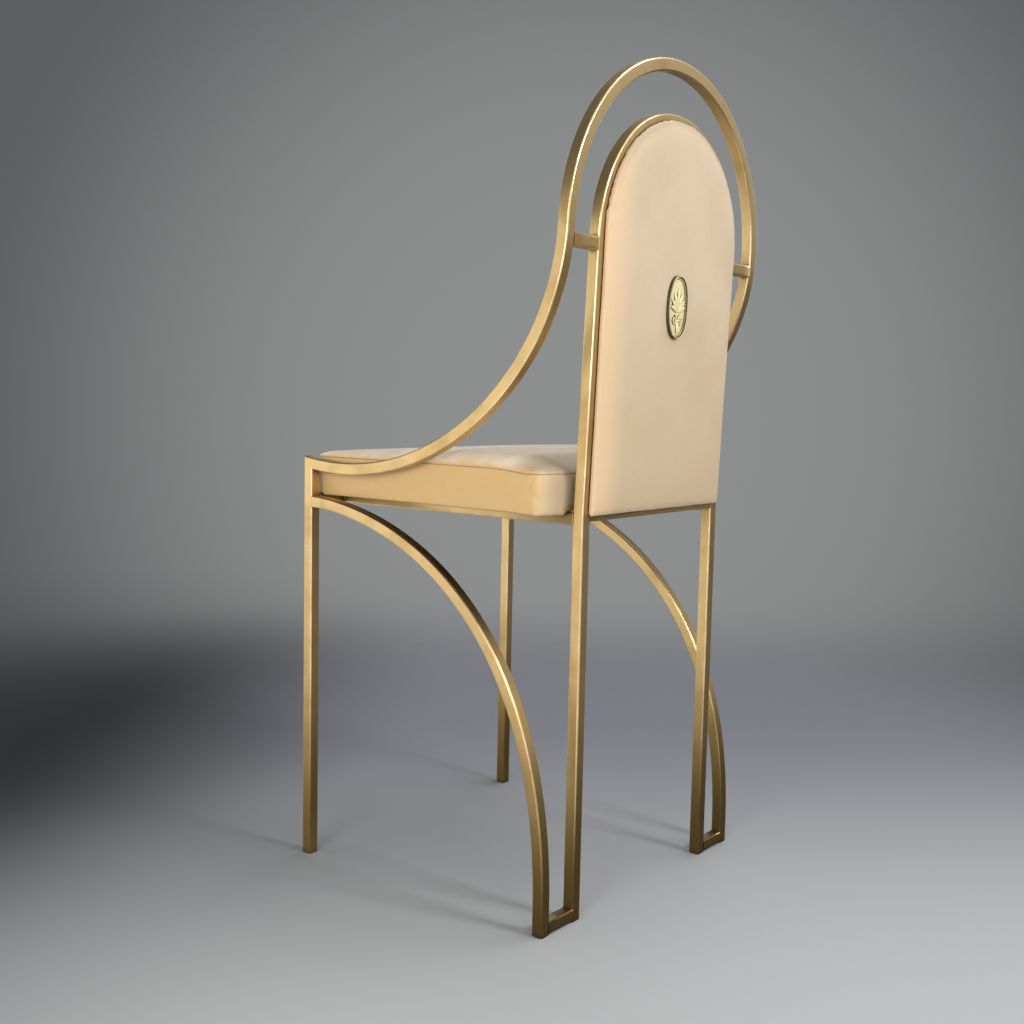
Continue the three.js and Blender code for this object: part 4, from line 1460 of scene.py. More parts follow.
@dataclass
class SeatForm(SoftForm):
    """The seat cushion's outline: a rectangle with clipped corners in front of the rear posts."""

    corners: tuple[Corner, ...] = ()
    corner_segments: int = 5
    corner_blend: float = 7 * MM
    hem: float = 24 * MM
    hem_inset: float = 7 * MM
    seam_drop: float = 4.2 * MM
    seam_width: float = 2.4 * MM
    seam_depth: float = 0.9 * MM
    skirt_drop: float = 6 * MM
    corner_drop: float = 2.2 * MM
    rail_reach: float = 138 * MM
    front_run: float = 230 * MM
    front_power: float = 1.6
    shoulder_lift: float = 3.6 * MM
    crease_ahead: float = 15 * MM
    crease_width: float = 1.8 * MM
    crease_depth: float = 1.1 * MM
    wave_depth: float = 0.45 * MM
    fold_depth: float = 0.8 * MM
    dimple_depth: float = 2.4 * MM
    gather_depth: float = 1.7 * MM

    @property
    def side(self) -> float:
        """Half the outline's width."""
        return max(corner.x for corner in self.corners)

    @property
    def front(self) -> float:
        """Place of the front edge."""
        return min(corner.y for corner in self.corners)

    @property
    def rear(self) -> float:
        """Place of the rear edge."""
        return max(corner.y for corner in self.corners)

    @property
    def clip_y(self) -> float:
        """Where a side ends and its clipped corner begins."""
        return self.corners[1].y

    def outline(self, bm: bmesh.types.BMesh) -> bmesh.types.BMFace:
        """The corners joined up, each rounded by its own radius.

        Args:
            bm: Bmesh that takes it.

        Returns:
            The face of the outline.
        """
        verts = [bm.verts.new((corner.x, corner.y, 0)) for corner in self.corners]
        bm.faces.new(verts)
        count = len(verts)
        places = [vert.co.copy() for vert in verts]
        for i, vert in enumerate(verts):
            before = (places[i] - places[i - 1]).normalized()
            after = (places[(i + 1) % count] - places[i]).normalized()
            bmesh.ops.bevel(
                bm,
                geom=[vert],
                offset=self.corners[i].radius * math.tan(before.angle(after) / 2),
                segments=self.corner_segments,
                profile=0.5,
                affect="VERTICES",
                material=-1,
            )
        return bm.faces[:][0]

    def edge_distance(self, x: float, y: float) -> float:
        """Soft minimum of the distances to the sides.

        Args:
            x: Across the form.
            y: Along the form.

        Returns:
            The distance in metres, positive inside.
        """
        total = 0.0
        for start, end in zip(self.corners, (*self.corners[1:], self.corners[0])):
            along = Vector((end.x - start.x, end.y - start.y)).normalized()
            away = along.x * (y - start.y) - along.y * (x - start.x)
            total += math.exp(-away / self.corner_blend)
        return -self.corner_blend * math.log(total)

    def detail(self, piece: bpy.types.Object) -> None:
        """Sewn edge, gathered leather at the rear corners and shallow waves on the sides.

        Args:
            piece: The form.
        """
        self.gather(piece)
        self.groove(piece, self.height - self.seam_drop, self.seam_width, self.seam_depth)
        self.hang(piece)

    def gather(self, piece: bpy.types.Object) -> None:
        """Pushes folds, waves and the creases beside the rear corners into the sides.

        Args:
            piece: The form.
        """
        side = self.side
        crease_y = self.rear - self.crease_ahead
        for vert in piece.data.vertices:
            x, y, z = vert.co
            depth = self.edge_distance(x, y)
            if depth > 40 * MM:
                continue
            near = smoothstep(70 * MM, 10 * MM, math.hypot(abs(x) - side, y - crease_y))
            wave = noise.noise(Vector((x * 22, y * 22, z * 60)))
            fold = noise.noise(Vector((x * 70, y * 70, z * 26 + 3.0)))
            crease = math.exp(-(((y - crease_y) / self.crease_width) ** 2))
            crease *= smoothstep(0.0, 20 * MM, abs(x) - side + 20 * MM)
            pucker = self.pucker(crease_y - y, z) * smoothstep(side - 8 * MM, side - 2 * MM, abs(x))
            push = self.wave_depth * wave + self.fold_depth * near * fold
            push += self.crease_depth * crease + pucker
            vert.co += self.inward(x, y) * smoothstep(12 * MM, 0.0, depth) * push

    def hang(self, piece: bpy.types.Object) -> None:
        """Paints shade on the bottom edge, lets it hang past the board and lifts the shoulders.

        Args:
            piece: The form.
        """
        seam_and_shade = piece.data.attributes[self.SEAM_AND_SHADE].data
        for vert in piece.data.vertices:
            x, y, z = vert.co
            depth = self.edge_distance(x, y)
            # Painted shade along the cushion's bottom edge, kept with the seams' darkening.
            seam_and_shade[vert.index].value = max(seam_and_shade[vert.index].value, smoothstep(3 * MM, 0.5 * MM, z))
            away = math.hypot(abs(x) - self.side, y - self.clip_y)
            lift = smoothstep(0.35 * self.height, 0.85 * self.height, z)
            lift *= smoothstep(8 * MM, 75 * MM, away) * smoothstep(90 * MM, 30 * MM, depth)
            lift *= smoothstep(15 * MM, 50 * MM, self.rear - y)
            vert.co.z += self.shoulder_lift * lift - self.skirt(x, y, z, depth)

    def fullness(self, y: float) -> float:
        """The crown falls off towards the seat's front.

        Args:
            y: Along the form.

        Returns:
            Share of the crown that is kept there.
        """
        share = min(1.0, max(0.0, (y - self.front) / self.front_run))
        return 1 - (1 - share) ** self.front_power

    def pucker(self, ahead: float, z: float) -> float:
        """Depth of the gathers in the leather beside a rear corner.

        Args:
            ahead: Distance in front of the corner's crease.
            z: Height over the form's base.

        Returns:
            The depth in metres.
        """
        low = ((z - 17 * MM) / (3.4 * MM)) ** 2
        dimple = math.exp(-low - ((ahead - 2 * MM) / (9 * MM)) ** 2)
        line = 13 * MM - 0.35 * (z - 22 * MM)
        gather = math.exp(-(((ahead - line) / (3.2 * MM)) ** 2)) * smoothstep(14 * MM, 24 * MM, z)
        return self.dimple_depth * dimple + self.gather_depth * gather

    def skirt(self, x: float, y: float, z: float, depth: float) -> float:
        """How far the leather hangs past the board's underside, outside the rails.

        Args:
            x: Across the form.
            y: Along the form.
            z: Height over the form's base.
            depth: Distance from the outline.

        Returns:
            The drop in metres.
        """
        outside = max(
            smoothstep(self.rail_reach, self.rail_reach + 3 * MM, abs(x)),
            smoothstep(self.front + 8 * MM, self.front + 3 * MM, y),
            smoothstep(self.rear - 6 * MM, self.rear - 2 * MM, y),
        )
        corner = smoothstep(11 * MM, 0.0, math.hypot(abs(x) - self.side, y - self.clip_y))
        low = smoothstep(0.45 * self.height, 0.0, z) * smoothstep(9 * MM, 4 * MM, depth)
        return low * outside * (self.skirt_drop + corner * self.corner_drop)


@dataclass
class ArchForm(SoftForm):
    """A back pad's outline: straight sides under a half round, with small bottom corners."""

    half_width: float = 0.0
    bottom: float = 0.0
    spring: float = 0.0
    bottom_round: float = 7 * MM
    bottom_segments: int = 5
    bottom_blend: float = 5 * MM
    arch_steps: int = 40
    rim_shade: float = 0.55
    wave_depth: float = 0.35 * MM

    def outline(self, bm: bmesh.types.BMesh) -> bmesh.types.BMFace:
        """Half round spun from one springing point to the other, closed by the bottom.

        Args:
            bm: Bmesh that takes it.

        Returns:
            The face of the outline.
        """
        start = bm.verts.new((self.half_width, self.spring, 0))
        bmesh.ops.spin(
            bm,
            geom=[start],
            cent=(0, self.spring, 0),
            axis=(0, 0, 1),
            angle=math.pi,
            steps=self.arch_steps,
        )
        arch = sorted(bm.verts, key=lambda v: math.atan2(v.co.y - self.spring, v.co.x))
        if arch[0].co.x < 0:
            arch = arch[1:] + arch[:1]
        left = bm.verts.new((-self.half_width, self.bottom, 0))
        right = bm.verts.new((self.half_width, self.bottom, 0))
        face = bm.faces.new([*arch, left, right])
        bmesh.ops.bevel(
            bm,
            geom=[left, right],
            offset=self.bottom_round,
            segments=self.bottom_segments,
            profile=0.5,
            affect="VERTICES",
            material=-1,
        )
        return face if face.is_valid else bm.faces[:][0]

    def edge_distance(self, x: float, y: float) -> float:
        """Distance to the half round, or a soft minimum of the sides and the bottom.

        Args:
            x: Across the form.
            y: Along the form.

        Returns:
            The distance in metres, positive inside.
        """
        if y > self.spring:
            return self.half_width - math.hypot(x, y - self.spring)
        soft = self.bottom_blend
        total = math.exp(-(self.half_width - abs(x)) / soft) + math.exp(-(y - self.bottom) / soft)
        return -soft * math.log(total)

    def detail(self, piece: bpy.types.Object) -> None:
        """Shallow waves where the leather is pulled over the edge, and painted shade round the arch.

        Args:
            piece: The form.
        """
        seam_and_shade = piece.data.attributes.new(self.SEAM_AND_SHADE, "FLOAT", "POINT").data
        for vert in piece.data.vertices:
            x, y, z = vert.co
            depth = self.edge_distance(x, y)
            arch = smoothstep(self.spring - 10 * MM, self.spring + 70 * MM, y)
            # Painted shade in a band inside the arch's rim.
            seam_and_shade[vert.index].value = self.rim_shade * arch * smoothstep(13 * MM, 1 * MM, depth)
            reach = smoothstep(26 * MM, 0.0, depth)
            if reach <= 0:
                continue
            wave = noise.noise(Vector((x * 26, y * 26, z * 40)))
            vert.co += self.inward(x, y) * reach * self.wave_depth * wave


@dataclass
class Upholstery:
    """Seat cushion and the two back pads."""

    plan: Layout
    rear_pad_height: float = 7 * MM
    rear_pad_crown: float = 1.6 * MM
    rear_pad_roll: float = 2.2 * MM
    leather: float = 1.3 * MM
    hem_bite: float = 0.6 * MM
    seat_height: float = 45 * MM
    front_round: float = 20 * MM
    side_round: float = 13 * MM
    clip_round: float = 10 * MM
    clip_length: float = 16 * MM
    clip_gap: float = 2 * MM
    front_pad_base: float = 2.2 * MM
    front_pad_depth: float = 8 * MM
    front_pad_lift: float = 0.6 * MM

    def build(self) -> None:
        self.seat()
        self.rear_pad()
        self.front_pad()

    def seat(self) -> None:
        """Cushion on the rails, with a folded hem that leaves room for the dust cover."""
        plan = self.plan
        low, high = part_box("seat_cover")
        clip_x = plan.post_x + plan.half + self.clip_gap
        clip_y = high.y - self.clip_length
        corners = (
            Corner(high.x, low.y, self.front_round),
            Corner(high.x, clip_y, self.side_round),
            Corner(clip_x, high.y, self.clip_round),
            Corner(-clip_x, high.y, self.clip_round),
            Corner(-high.x, clip_y, self.side_round),
            Corner(-high.x, low.y, self.front_round),
        )
        form = SeatForm(
            name="leather_seat",
            height=self.seat_height - self.leather,
            crown=15 * MM,
            crown_run=112 * MM,
            edge_round=5 * MM,
            draw_in=2.2 * MM,
            swell_cap=2.2 * MM,
            corners=corners,
        )
        cushion = form.make(Matrix.Translation((0, 0, low.z + self.leather)))
        declare(cushion, Slot.LEATHER, ["seat_cover", "seat_foam"])
        self.seat_hem(form, low.z)

    def seat_hem(self, form: SeatForm, base: float) -> None:
        """Leather turned under the cushion, a flat band inside its outline.

        Args:
            form: The seat's form.
            base: Height of the hem's underside.
        """
        bm = bmesh.new()
        face = form.outline(bm)
        bmesh.ops.inset_region(
            bm, faces=[face], thickness=form.hem_inset, use_even_offset=True, use_boundary=True
        )
        outer = [item for item in bm.faces if item is not face]
        bmesh.ops.delete(bm, geom=outer, context="FACES")
        band = bmesh.ops.inset_region(
            bm,
            faces=[face],
            thickness=form.hem - form.hem_inset,
            use_even_offset=True,
            use_boundary=True,
        )["faces"]
        bmesh.ops.delete(bm, geom=[face], context="FACES_ONLY")
        made = bmesh.ops.extrude_face_region(bm, geom=band)["geom"]
        thickness = self.leather + self.hem_bite
        bmesh.ops.translate(bm, vec=(0, 0, thickness), verts=new_verts(made))
        bmesh.ops.recalc_face_normals(bm, faces=bm.faces[:])
        bmesh.ops.translate(bm, vec=(0, 0, base), verts=bm.verts[:])
        hem = put_in_scene(bm, "leather_seat_hem")
        dress(hem, Slot.LEATHER)
        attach(hem, BODY)
        log.info("%s made", hem.name)

    def rear_pad(self) -> None:
        """Pad over the rear of the back; its face looks to the rear."""
        plan = self.plan
        low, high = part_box("rear_pad_cover")
        base = plan.half + plan.fit_gap
        tilt = (base + self.rear_pad_height) * math.sin(plan.rake)
        bottom = (low.z - plan.rail_z + tilt) / math.cos(plan.rake)
        form = ArchForm(
            name="leather_rear_pad",
            height=self.rear_pad_height - self.rear_pad_roll,
            crown=self.rear_pad_crown + self.rear_pad_roll,
            crown_run=52 * MM,
            edge_round=2.8 * MM,
            draw_in=0.3 * MM,
            swell_cap=1.0 * MM,
            base_round=0.6 * MM,
            voxel=3.2 * MM,
            shrink=0.1 * MM,
            half_width=high.x + 1.2 * MM,
            bottom=bottom,
            bottom_round=2.5 * MM,
            spring=plan.arch_run,
        )
        turn = Matrix(((-1, 0, 0, 0), (0, 0, 1, base), (0, 1, 0, 0), (0, 0, 0, 1)))
        pad = form.make(plan.back_plane @ turn)
        declare(pad, Slot.LEATHER, ["rear_pad_cover", "rear_pad_foam"])

    def front_pad(self) -> None:
        """Pad in front of the back board; its face looks to the front."""
        plan = self.plan
        low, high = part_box("front_pad_cover")
        base = self.front_pad_base
        shoulder = base + plan.half + self.front_pad_depth
        bottom = (low.z - plan.rail_z) / math.cos(plan.rake) + self.front_pad_lift
        form = ArchForm(
            name="leather_front_pad",
            height=shoulder,
            crown=3.6 * MM,
            crown_run=64 * MM,
            edge_round=6.5 * MM,
            draw_in=0.6 * MM,
            swell_cap=1.6 * MM,
            voxel=4 * MM,
            shrink=0.8 * MM,
            half_width=high.x,
            bottom=bottom,
            spring=plan.arch_run,
        )
        turn = Matrix(((1, 0, 0, 0), (0, 0, -1, base), (0, 1, 0, 0), (0, 0, 0, 1)))
        pad = form.make(plan.back_plane @ turn)
        declare(pad, Slot.LEATHER, ["front_pad_cover", "front_pad_foam"])


@dataclass
class Medallion:
    """Cast oval on the rear pad: beaded rim, palmette, two volutes and a hanging bud."""

    plan: Layout
    plate: float = 3.4 * MM
    rim: float = 1.7 * MM
    oval_power: float = 0.88
    rim_width: float = 3.2 * MM
    leaf_count: int = 7
    leaf_spread: float = math.radians(116)
    leaf_length: float = 27 * MM
    leaf_side_share: float = 0.62
    leaf_width: float = 5.6 * MM
    leaf_height: float = 2.8 * MM
    leaf_root_drop: float = 5.5 * MM
    leaf_curl: float = 3.4 * MM
    leaf_vein: float = 0.16
    leaf_vein_depth: float = 0.35
    volute_x: float = 6 * MM
    volute_drop: float = 14.5 * MM
    bead_count: int = 64
    bead_radius: float = 0.85 * MM
    bead_gap: float = 0.2 * MM
    low_line: tuple[float, float] = (1.2 * MM, 0.2 * MM)
    rim_lift: float = 1.4
    crisp_angle: float = math.radians(62)
    volute_turns: float = 1.6
    volute_steps: int = 46
    volute_radius: float = 5.0 * MM
    volute_close: float = 3.9 * MM
    volute_thick: float = 1.35 * MM
    volute_taper: float = 0.6 * MM
    volute_lift: float = 0.4 * MM
    volute_climb: float = 0.5 * MM
    eye_radius: float = 1.3 * MM
    eye_lift: float = 0.6 * MM
    bud_half: tuple[float, float, float] = (3.1 * MM, 6.6 * MM, 2.2 * MM)
    bud_drop: float = 22.5 * MM
    bud_widths: tuple[float, float] = (1.15, 0.6)
    neck_drop: float = 15.2 * MM
    neck_radius: float = 1.6 * MM

    RELIEF = "relief"
    RIM_ROWS = (
        (0.5, 0.5),
        (0.4, 0.35),
        (0.5, 0.0),
        (0.4, -0.35),
        (0.4, -0.75),
        (0.3, 0.0),
        (0.3, 0.45),
        (0.4, 0.0),
        (0.4, -0.5),
        (3.0, 0.1),
        (3.0, 0.1),
    )

    def build(self) -> None:
        plan = self.plan
        low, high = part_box("medallion")
        half_x = (high.x - low.x) / 2
        half_y = (high.z - low.z) / 2 / math.cos(plan.rake)
        bm = bmesh.new()
        self.base(bm, half_x, half_y)
        self.beads(bm, half_x, half_y)
        self.palmette(bm)
        self.volutes(bm)
        self.bud(bm)
        relief = bm.verts.layers.float.new(self.RELIEF)
        low_from, low_to = (self.plate - under for under in self.low_line)
        for vert in bm.verts:
            vert[relief] = smoothstep(low_from, low_to, vert.co.z)
        for face in bm.faces:
            face.smooth = True
        piece = put_in_scene(bm, "cast_medallion")
        centre = plan.back_plane.inverted() @ middle("medallion")
        pad = Upholstery.rear_pad_height + Upholstery.rear_pad_crown
        face_run = plan.half + plan.fit_gap + pad
        place = Matrix(((-1, 0, 0, 0), (0, 0, 1, face_run), (0, 1, 0, centre.z), (0, 0, 0, 1)))
        piece.data.transform(plan.back_plane @ place)
        sharp = piece.modifiers.new("Crisp edges", "EDGE_SPLIT")
        sharp.split_angle = self.crisp_angle
        declare(piece, Slot.CAST_BRASS, ["medallion"])

    def base(self, bm: bmesh.types.BMesh, half_x: float, half_y: float) -> None:
        """Oval plate with a rolled rim round a slightly domed field.

        Args:
            bm: Bmesh of the casting.
            half_x: Half the oval's width.
            half_y: Half its height.
        """
        bmesh.ops.create_circle(bm, cap_ends=True, segments=72, radius=1.0)
        for vert in bm.verts:
            vert.co.x = half_x * self.fuller(vert.co.x)
            vert.co.y = half_y * self.fuller(vert.co.y)
        face = bm.faces[:][0]
        made = bmesh.ops.extrude_face_region(bm, geom=[face])["geom"]
        top = new_faces(made)[0]
        lift = self.rim * self.rim_lift
        rise_all = sum(rise for _, rise in self.RIM_ROWS) * lift
        bmesh.ops.translate(bm, vec=(0, 0, self.plate - rise_all), verts=top.verts[:])
        for inset, rise in self.RIM_ROWS:
            bmesh.ops.inset_region(bm, faces=[top], thickness=inset * MM, use_even_offset=True)
            bmesh.ops.translate(bm, vec=(0, 0, rise * lift), verts=top.verts[:])
        bmesh.ops.recalc_face_normals(bm, faces=bm.faces[:])

    def fuller(self, part: float) -> float:
        """A unit circle's coordinate drawn out towards a rounded rectangle."""
        return math.copysign(abs(part) ** self.oval_power, part)

    def solid(self, bm: bmesh.types.BMesh, place: Matrix, segments: int = 12) -> list:
        """Adds a unit ball shaped by a matrix.

        Args:
            bm: Bmesh of the casting.
            place: From the unit ball to its shape and place.
            segments: Segments round it.

        Returns:
            Its vertices.
        """
        made = bmesh.ops.create_uvsphere(
            bm, u_segments=segments, v_segments=max(6, segments // 2), radius=1.0, matrix=place
        )
        return made["verts"]

    def beads(self, bm: bmesh.types.BMesh, half_x: float, half_y: float) -> None:
        """Ring of small beads just inside the rim.

        Args:
            bm: Bmesh of the casting.
            half_x: Half the oval's width.
            half_y: Half its height.
        """
        inset = self.rim_width + self.bead_gap
        for i in range(self.bead_count):
            angle = 2 * math.pi * i / self.bead_count
            across = (half_x - inset) * self.fuller(math.cos(angle))
            along = (half_y - inset) * self.fuller(math.sin(angle))
            where = Vector((across, along, self.plate))
            self.solid(bm, Matrix.Translation(where) @ Matrix.Scale(self.bead_radius, 4), 8)

    def palmette(self, bm: bmesh.types.BMesh) -> None:
        """Leaves that fan out from one root, each with a raised middle and a turned tip.

        Args:
            bm: Bmesh of the casting.
        """
        for i in range(self.leaf_count):
            turn = i / (self.leaf_count - 1) - 0.5
            length = self.leaf_length * (1 - (1 - self.leaf_side_share) * abs(2 * turn))
            shape = Matrix.Diagonal((self.leaf_width / 2, length / 2, self.leaf_height, 1))
            verts = self.solid(bm, shape, 14)
            for vert in verts:
                share = (vert.co.y / length) + 0.5
                vert.co.x *= 0.45 + 0.75 * math.sin(math.pi * min(1.0, 0.25 + 0.75 * share)) ** 0.8
                vert.co.z *= 0.6 + 0.55 * share
                vein = math.exp(-((vert.co.x / (self.leaf_vein * self.leaf_width)) ** 2))
                vert.co.z -= self.leaf_vein_depth * vein * vert.co.z
                vert.co.x += math.copysign(self.leaf_curl, turn) * share**3 * abs(2 * turn)
            root = Vector((0, length / 2, 0))
            bmesh.ops.translate(bm, vec=root, verts=verts)
            place = Matrix.Translation((0, -self.leaf_root_drop, self.plate))
            spin = Matrix.Rotation(-turn * self.leaf_spread, 4, "Z")
            bmesh.ops.transform(bm, matrix=place @ spin, verts=verts)

    def volutes(self, bm: bmesh.types.BMesh) -> None:
        """Two scrolls under the leaves, each a tapering coil round a small eye.

        Args:
            bm: Bmesh of the casting.
        """
        for _, side in HANDS:
            shares = [i / self.volute_steps for i in range(self.volute_steps + 1)]
            places = [self.volute_place(side, share) for share in shares]
            made = bmesh.ops.create_circle(bm, cap_ends=True, segments=8, radius=1.0)
            face = made["verts"][0].link_faces[0]
            bmesh.ops.transform(bm, matrix=places[0], verts=made["verts"])
            for before, after in zip(places, places[1:]):
                face = new_faces(bmesh.ops.extrude_face_region(bm, geom=[face])["geom"])[0]
                bmesh.ops.transform(bm, matrix=after @ before.inverted(), verts=face.verts[:])
            eye = Vector((side * self.volute_x, -self.volute_drop, self.plate + self.eye_lift))
            self.solid(bm, Matrix.Translation(eye) @ Matrix.Scale(self.eye_radius, 4), 10)

    def volute_place(self, side: float, share: float) -> Matrix:
        """Place and size of a scroll's section.

        Args:
            side: 1 for one scroll and -1 for its mirror image.
            share: 0 at the scroll's start and 1 at its inner end.

        Returns:
            From a unit circle in the XY plane to the section.
        """
        angle = math.pi / 2 + self.volute_turns * 2 * math.pi * share
        radius = self.volute_radius - self.volute_close * share
        where = Vector((
            side * (self.volute_x + radius * math.cos(angle)),
            -self.volute_drop + radius * math.sin(angle),
            self.plate + self.volute_lift + self.volute_climb * share,
        ))
        along = Vector((-side * math.sin(angle), math.cos(angle), 0))
        thick = self.volute_thick - self.volute_taper * share
        return Station(where, along, Z_AXIS).matrix @ Matrix.Scale(thick, 4)

    def bud(self, bm: bmesh.types.BMesh) -> None:
        """Pointed bud that hangs between the scrolls, with a bead at its neck.

        Args:
            bm: Bmesh of the casting.
        """
        wide, narrow = self.bud_widths
        verts = self.solid(bm, Matrix.Diagonal((*self.bud_half, 1)), 14)
        for vert in verts:
            share = 0.5 - vert.co.y / (2 * self.bud_half[1])
            vert.co.x *= wide + (narrow - wide) * share
        bmesh.ops.translate(bm, vec=(0, -self.bud_drop, self.plate), verts=verts)
        neck = Vector((0, -self.neck_drop, self.plate + self.eye_lift))
        self.solid(bm, Matrix.Translation(neck) @ Matrix.Scale(self.neck_radius, 4), 10)


@dataclass
class Hardware:
    """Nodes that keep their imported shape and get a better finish."""

    nodes: dict[str, bpy.types.Object]

    NAME_STARTS = (
        "glide",
        "panel_clip",
        "seat_tab",
        "back_lug",
        "seat_screw",
        "back_screw",
        "medallion_nut",
        "seat_board",
        "back_board",
        "rear_panel",
        "seat_dust_cover",
    )

    def build(self) -> None:
        """Dresses every node that stays, by the start of its name."""
        record = {row["node"]: row["material_slot"] for row in frame["record"]["subparts"]}
        for name, piece in self.nodes.items():
            if name.startswith(self.NAME_STARTS):
                dress(piece, Slot(record[name]))
                log.info("%s dressed in %s", name, record[name])


@dataclass(frozen=True)
class Lamp:
    """A rectangular lamp that the camera doesn't see."""

    name: str
    place: tuple[float, float, float]
    size: tuple[float, float]
    power: float
    colour: tuple[float, float, float]

    def hang(self, target: Vector) -> None:
        """Adds the lamp to the scene.

        Args:
            target: Point that it faces.
        """
        data = bpy.data.lights.new(self.name, "AREA")
        data.shape = "RECTANGLE"
        data.size, data.size_y = self.size
        data.energy = self.power
        data.color = self.colour
        lamp = bpy.data.objects.new(self.name, data)
        lamp.location = self.place
        lamp.rotation_mode = "QUATERNION"
        lamp.rotation_quaternion = (target - Vector(self.place)).to_track_quat("-Z", "Y")
        lamp.visible_camera = False
        bpy.context.scene.collection.objects.link(lamp)


LAMPS = (
    Lamp("key", (-0.15, 2.15, 1.75), (0.5, 0.42), 25.0, (1.0, 0.985, 0.97)),
    Lamp("strip", (1.5, 2.1, 0.95), (0.22, 1.3), 4.2, (1.0, 0.98, 0.94)),
    Lamp("side_fill", (1.95, -1.85, 0.75), (2.4, 1.7), 14.0, (1.0, 0.96, 0.9)),
    Lamp("edge_light", (2.3, 0.7, 0.9), (0.8, 1.0), 22.0, (1.0, 0.95, 0.86)),
    Lamp("seat_light", (-0.8, 0.2, 2.6), (1.2, 1.0), 18.0, (1.0, 1.0, 1.0)),
)


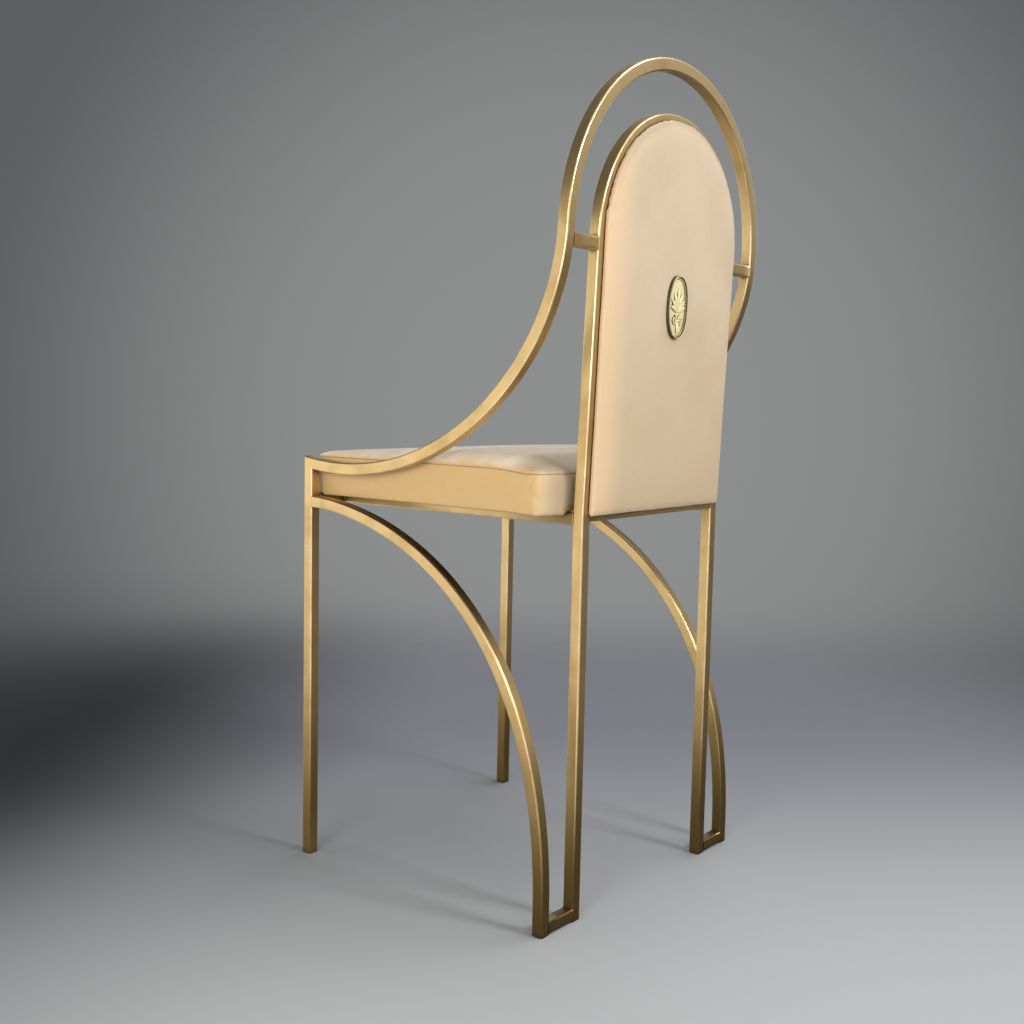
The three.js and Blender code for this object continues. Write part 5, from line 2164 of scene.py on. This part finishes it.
@dataclass
class Studio:
    """Floor, backdrop, lamps and the camera at the photograph's place."""

    plan: Layout
    camera_from_post: Vector = field(default_factory=lambda: Vector((1.2101, 0.76936, 0.5793)))
    azimuth: float = math.radians(128.861)
    elevation: float = math.radians(5.432)
    roll: float = math.radians(1.19)
    lens: float = 43.23
    sensor: float = 36.0
    view_end: float = 60.0
    lamp_target: Vector = field(default_factory=lambda: Vector((0, 0, 0.5)))
    wall_centre: Colour = linear(141, 143, 143)
    wall_edge: Colour = linear(92, 94, 95)
    wall_dark: Colour = linear(58, 60, 61)
    floor_near: Colour = linear(180, 183, 186)
    floor_far: Colour = linear(131, 133, 141)
    floor_dark: Colour = linear(56, 58, 61)
    floor_gleam: Colour = linear(255, 248, 236)
    daylight: Colour = linear(252, 252, 252)
    floor_radius: float = 6.0
    floor_fade: tuple[float, float] = (0.75, 2.0)
    base_level: float = 0.12
    right_level: float = 0.55
    left_level: float = 0.5
    corner_level: float = 0.65
    far_level: float = 0.9
    overhead_level: float = 0.45

    @property
    def view_way(self) -> Vector:
        """Level direction in which the camera looks."""
        return Vector((-math.sin(self.azimuth), math.cos(self.azimuth), 0))

    @property
    def right_way(self) -> Vector:
        """Level direction to the right of the camera's view."""
        return Vector((math.cos(self.azimuth), math.sin(self.azimuth), 0))

    def build(self) -> None:
        """Sets up the camera, the stage and the light."""
        bpy.context.scene.view_settings.view_transform = "Standard"
        self.camera()
        self.floor()
        self.world()
        for lamp in LAMPS:
            lamp.hang(self.lamp_target)

    def camera(self) -> None:
        """Camera with the photograph's place, turn and lens."""
        data = bpy.data.cameras.new("camera")
        data.lens = self.lens
        data.sensor_width = self.sensor
        data.clip_end = self.view_end
        camera = bpy.data.objects.new("camera", data)
        ahead = self.view_way * math.cos(self.elevation) - Z_AXIS * math.sin(self.elevation)
        upward = self.right_way.cross(ahead)
        right = self.right_way * math.cos(self.roll) + upward * math.sin(self.roll)
        up = upward * math.cos(self.roll) - self.right_way * math.sin(self.roll)
        turn = Matrix((right, up, -ahead)).transposed()
        place = self.camera_from_post + Y_AXIS * self.plan.back_y
        camera.matrix_world = Matrix.Translation(place) @ turn.to_4x4()
        bpy.context.scene.collection.objects.link(camera)
        bpy.context.scene.camera = camera

    def floor(self) -> None:
        """Round pale floor that fades into the backdrop, and glows as a painted reflection in the
        metal.
        """
        bm = bmesh.new()
        bmesh.ops.create_circle(bm, cap_ends=True, segments=96, radius=self.floor_radius)
        floor = put_in_scene(bm, "floor")
        material = bpy.data.materials.new("studio_floor")
        material.use_nodes = True
        board = NodeBoard(material.node_tree)
        place = board.own_place()
        ahead = board.dot(place, self.view_way)
        aside = board.dot(place, self.right_way)
        colour = self.floor_colour(board, ahead, aside)
        matt = board.add("BsdfDiffuse", {"Color": colour}).outputs[0]
        # Painted reflection: for glossy rays the floor glows, brighter to the camera's left and
        # towards it.
        level = board.total(
            board.ramp(aside, -0.95, 0.15, 0.85, 0.17), board.ramp(ahead, -0.32, -0.6, 0.0, 0.9)
        )
        gleam = board.add("Emission", {"Color": self.floor_gleam, "Strength": level}).outputs[0]
        mirrored = board.add("LightPath").outputs["Is Glossy Ray"]
        shown = board.add("MixShader", {0: mirrored, 1: matt, 2: gleam}).outputs[0]
        reach = board.add("VectorMath", {0: place}, operation="LENGTH").outputs["Value"]
        clear = board.add("BsdfTransparent").outputs[0]
        inputs = {0: board.ramp(reach, *self.floor_fade), 1: shown, 2: clear}
        whole = board.add("MixShader", inputs).outputs[0]
        board.add("OutputMaterial", {"Surface": whole})
        floor.data.materials.append(material)

    def floor_colour(self, board: NodeBoard, ahead: Feed, aside: Feed) -> bpy.types.NodeSocket:
        """Floor with painted shade: it darkens into the distance and to the left.

        Args:
            board: The floor's nodes.
            ahead: Distance in the camera's level direction.
            aside: Distance to its right.

        Returns:
            The colour.
        """
        colour = board.blend(board.ramp(ahead, -0.5, 0.62), self.floor_near, self.floor_far)
        left = board.product(
            board.ramp(aside, -0.12, -0.8), board.ramp(ahead, -0.7, 0.2, 0.45, 1.0)
        )
        return board.blend(left, colour, self.floor_dark)

    def world(self) -> None:
        """Plain backdrop for the camera, and a soft studio round the object for the rest."""
        world = bpy.data.worlds.new("studio")
        world.use_nodes = True
        bpy.context.scene.world = world
        board = NodeBoard(world.node_tree)
        way = board.add("TexCoord").outputs["Generated"]
        height = board.dot(way, Z_AXIS)
        wall = self.wall_colour(board, way, height)
        backdrop = board.add("Background", {"Color": wall, "Strength": 1.0}).outputs[0]
        level = self.light_level(board, way, height)
        light = board.add("Background", {"Color": self.daylight, "Strength": level}).outputs[0]
        seen = board.add("LightPath").outputs["Is Camera Ray"]
        whole = board.add("MixShader", {0: seen, 1: light, 2: backdrop}).outputs[0]
        board.add("OutputWorld", {"Surface": whole})

    def wall_colour(self, board: NodeBoard, way: Feed, height: Feed) -> bpy.types.NodeSocket:
        """Grey wall with a painted pool of light in the middle and painted shade in the low corners.

        Args:
            board: The world's nodes.
            way: Direction.
            height: Upward part of the direction.

        Returns:
            The colour.
        """
        aside = board.dot(way, self.right_way)
        # Painted pool of light in the middle of the wall.
        bright_way = (self.view_way + self.right_way * 0.05 - Z_AXIS * 0.02).normalized()
        spot = board.ramp(board.dot(way, bright_way), 0.88, 1.0)
        wall = board.blend(spot, self.wall_edge, self.wall_centre)
        # Painted shade in the low corners.
        left = board.product(board.ramp(aside, -0.02, -0.33), board.ramp(height, -0.13, -0.275))
        right = board.product(
            board.ramp(aside, 0.1, 0.4, 0.0, 0.45), board.ramp(height, -0.14, -0.24)
        )
        for corner in (left, right):
            wall = board.blend(corner, wall, self.wall_dark)
        return wall

    def light_level(self, board: NodeBoard, way: Feed, height: Feed) -> bpy.types.NodeSocket:
        """Level of the studio's light, with soft boxes on some of its sides.

        Args:
            board: The world's nodes.
            way: Direction.
            height: Upward part of the direction.

        Returns:
            The strength.
        """
        sideways = board.dot(way, Vector((-0.78, 0.62, 0.0)).normalized())
        cornerwards = board.dot(way, Vector((0.5, 0.86, 0.15)).normalized())
        right = board.product(board.ramp(sideways, 0.1, 0.75), board.ramp(height, -0.02, 0.16))
        left = board.product(board.ramp(sideways, -0.1, -0.75), board.ramp(height, 0.16, -0.04))
        corner = board.ramp(cornerwards, 0.8, 0.95)
        far = board.product(
            board.ramp(height, -0.01, 0.05),
            board.ramp(height, 0.34, 0.16),
            board.ramp(board.dot(way, self.view_way), 0.6, 0.92),
        )
        overhead = board.product(
            board.ramp(height, 0.45, 0.95), board.ramp(board.dot(way, Y_AXIS), -0.4, 0.0)
        )
        return board.total(
            self.base_level,
            board.product(right, self.right_level),
            board.product(left, self.left_level),
            board.product(corner, self.corner_level),
            board.product(far, self.far_level),
            board.product(overhead, self.overhead_level),
        )


def main() -> None:
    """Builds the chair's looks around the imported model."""
    logging.basicConfig(level=logging.INFO, format="%(name)s: %(message)s")
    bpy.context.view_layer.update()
    plan = Layout()
    Studio(plan).build()
    BrassFrame(plan).build()
    Upholstery(plan).build()
    Medallion(plan).build()
    Hardware(frame["nodes"]).build()


if __name__ == "__main__":
    main()
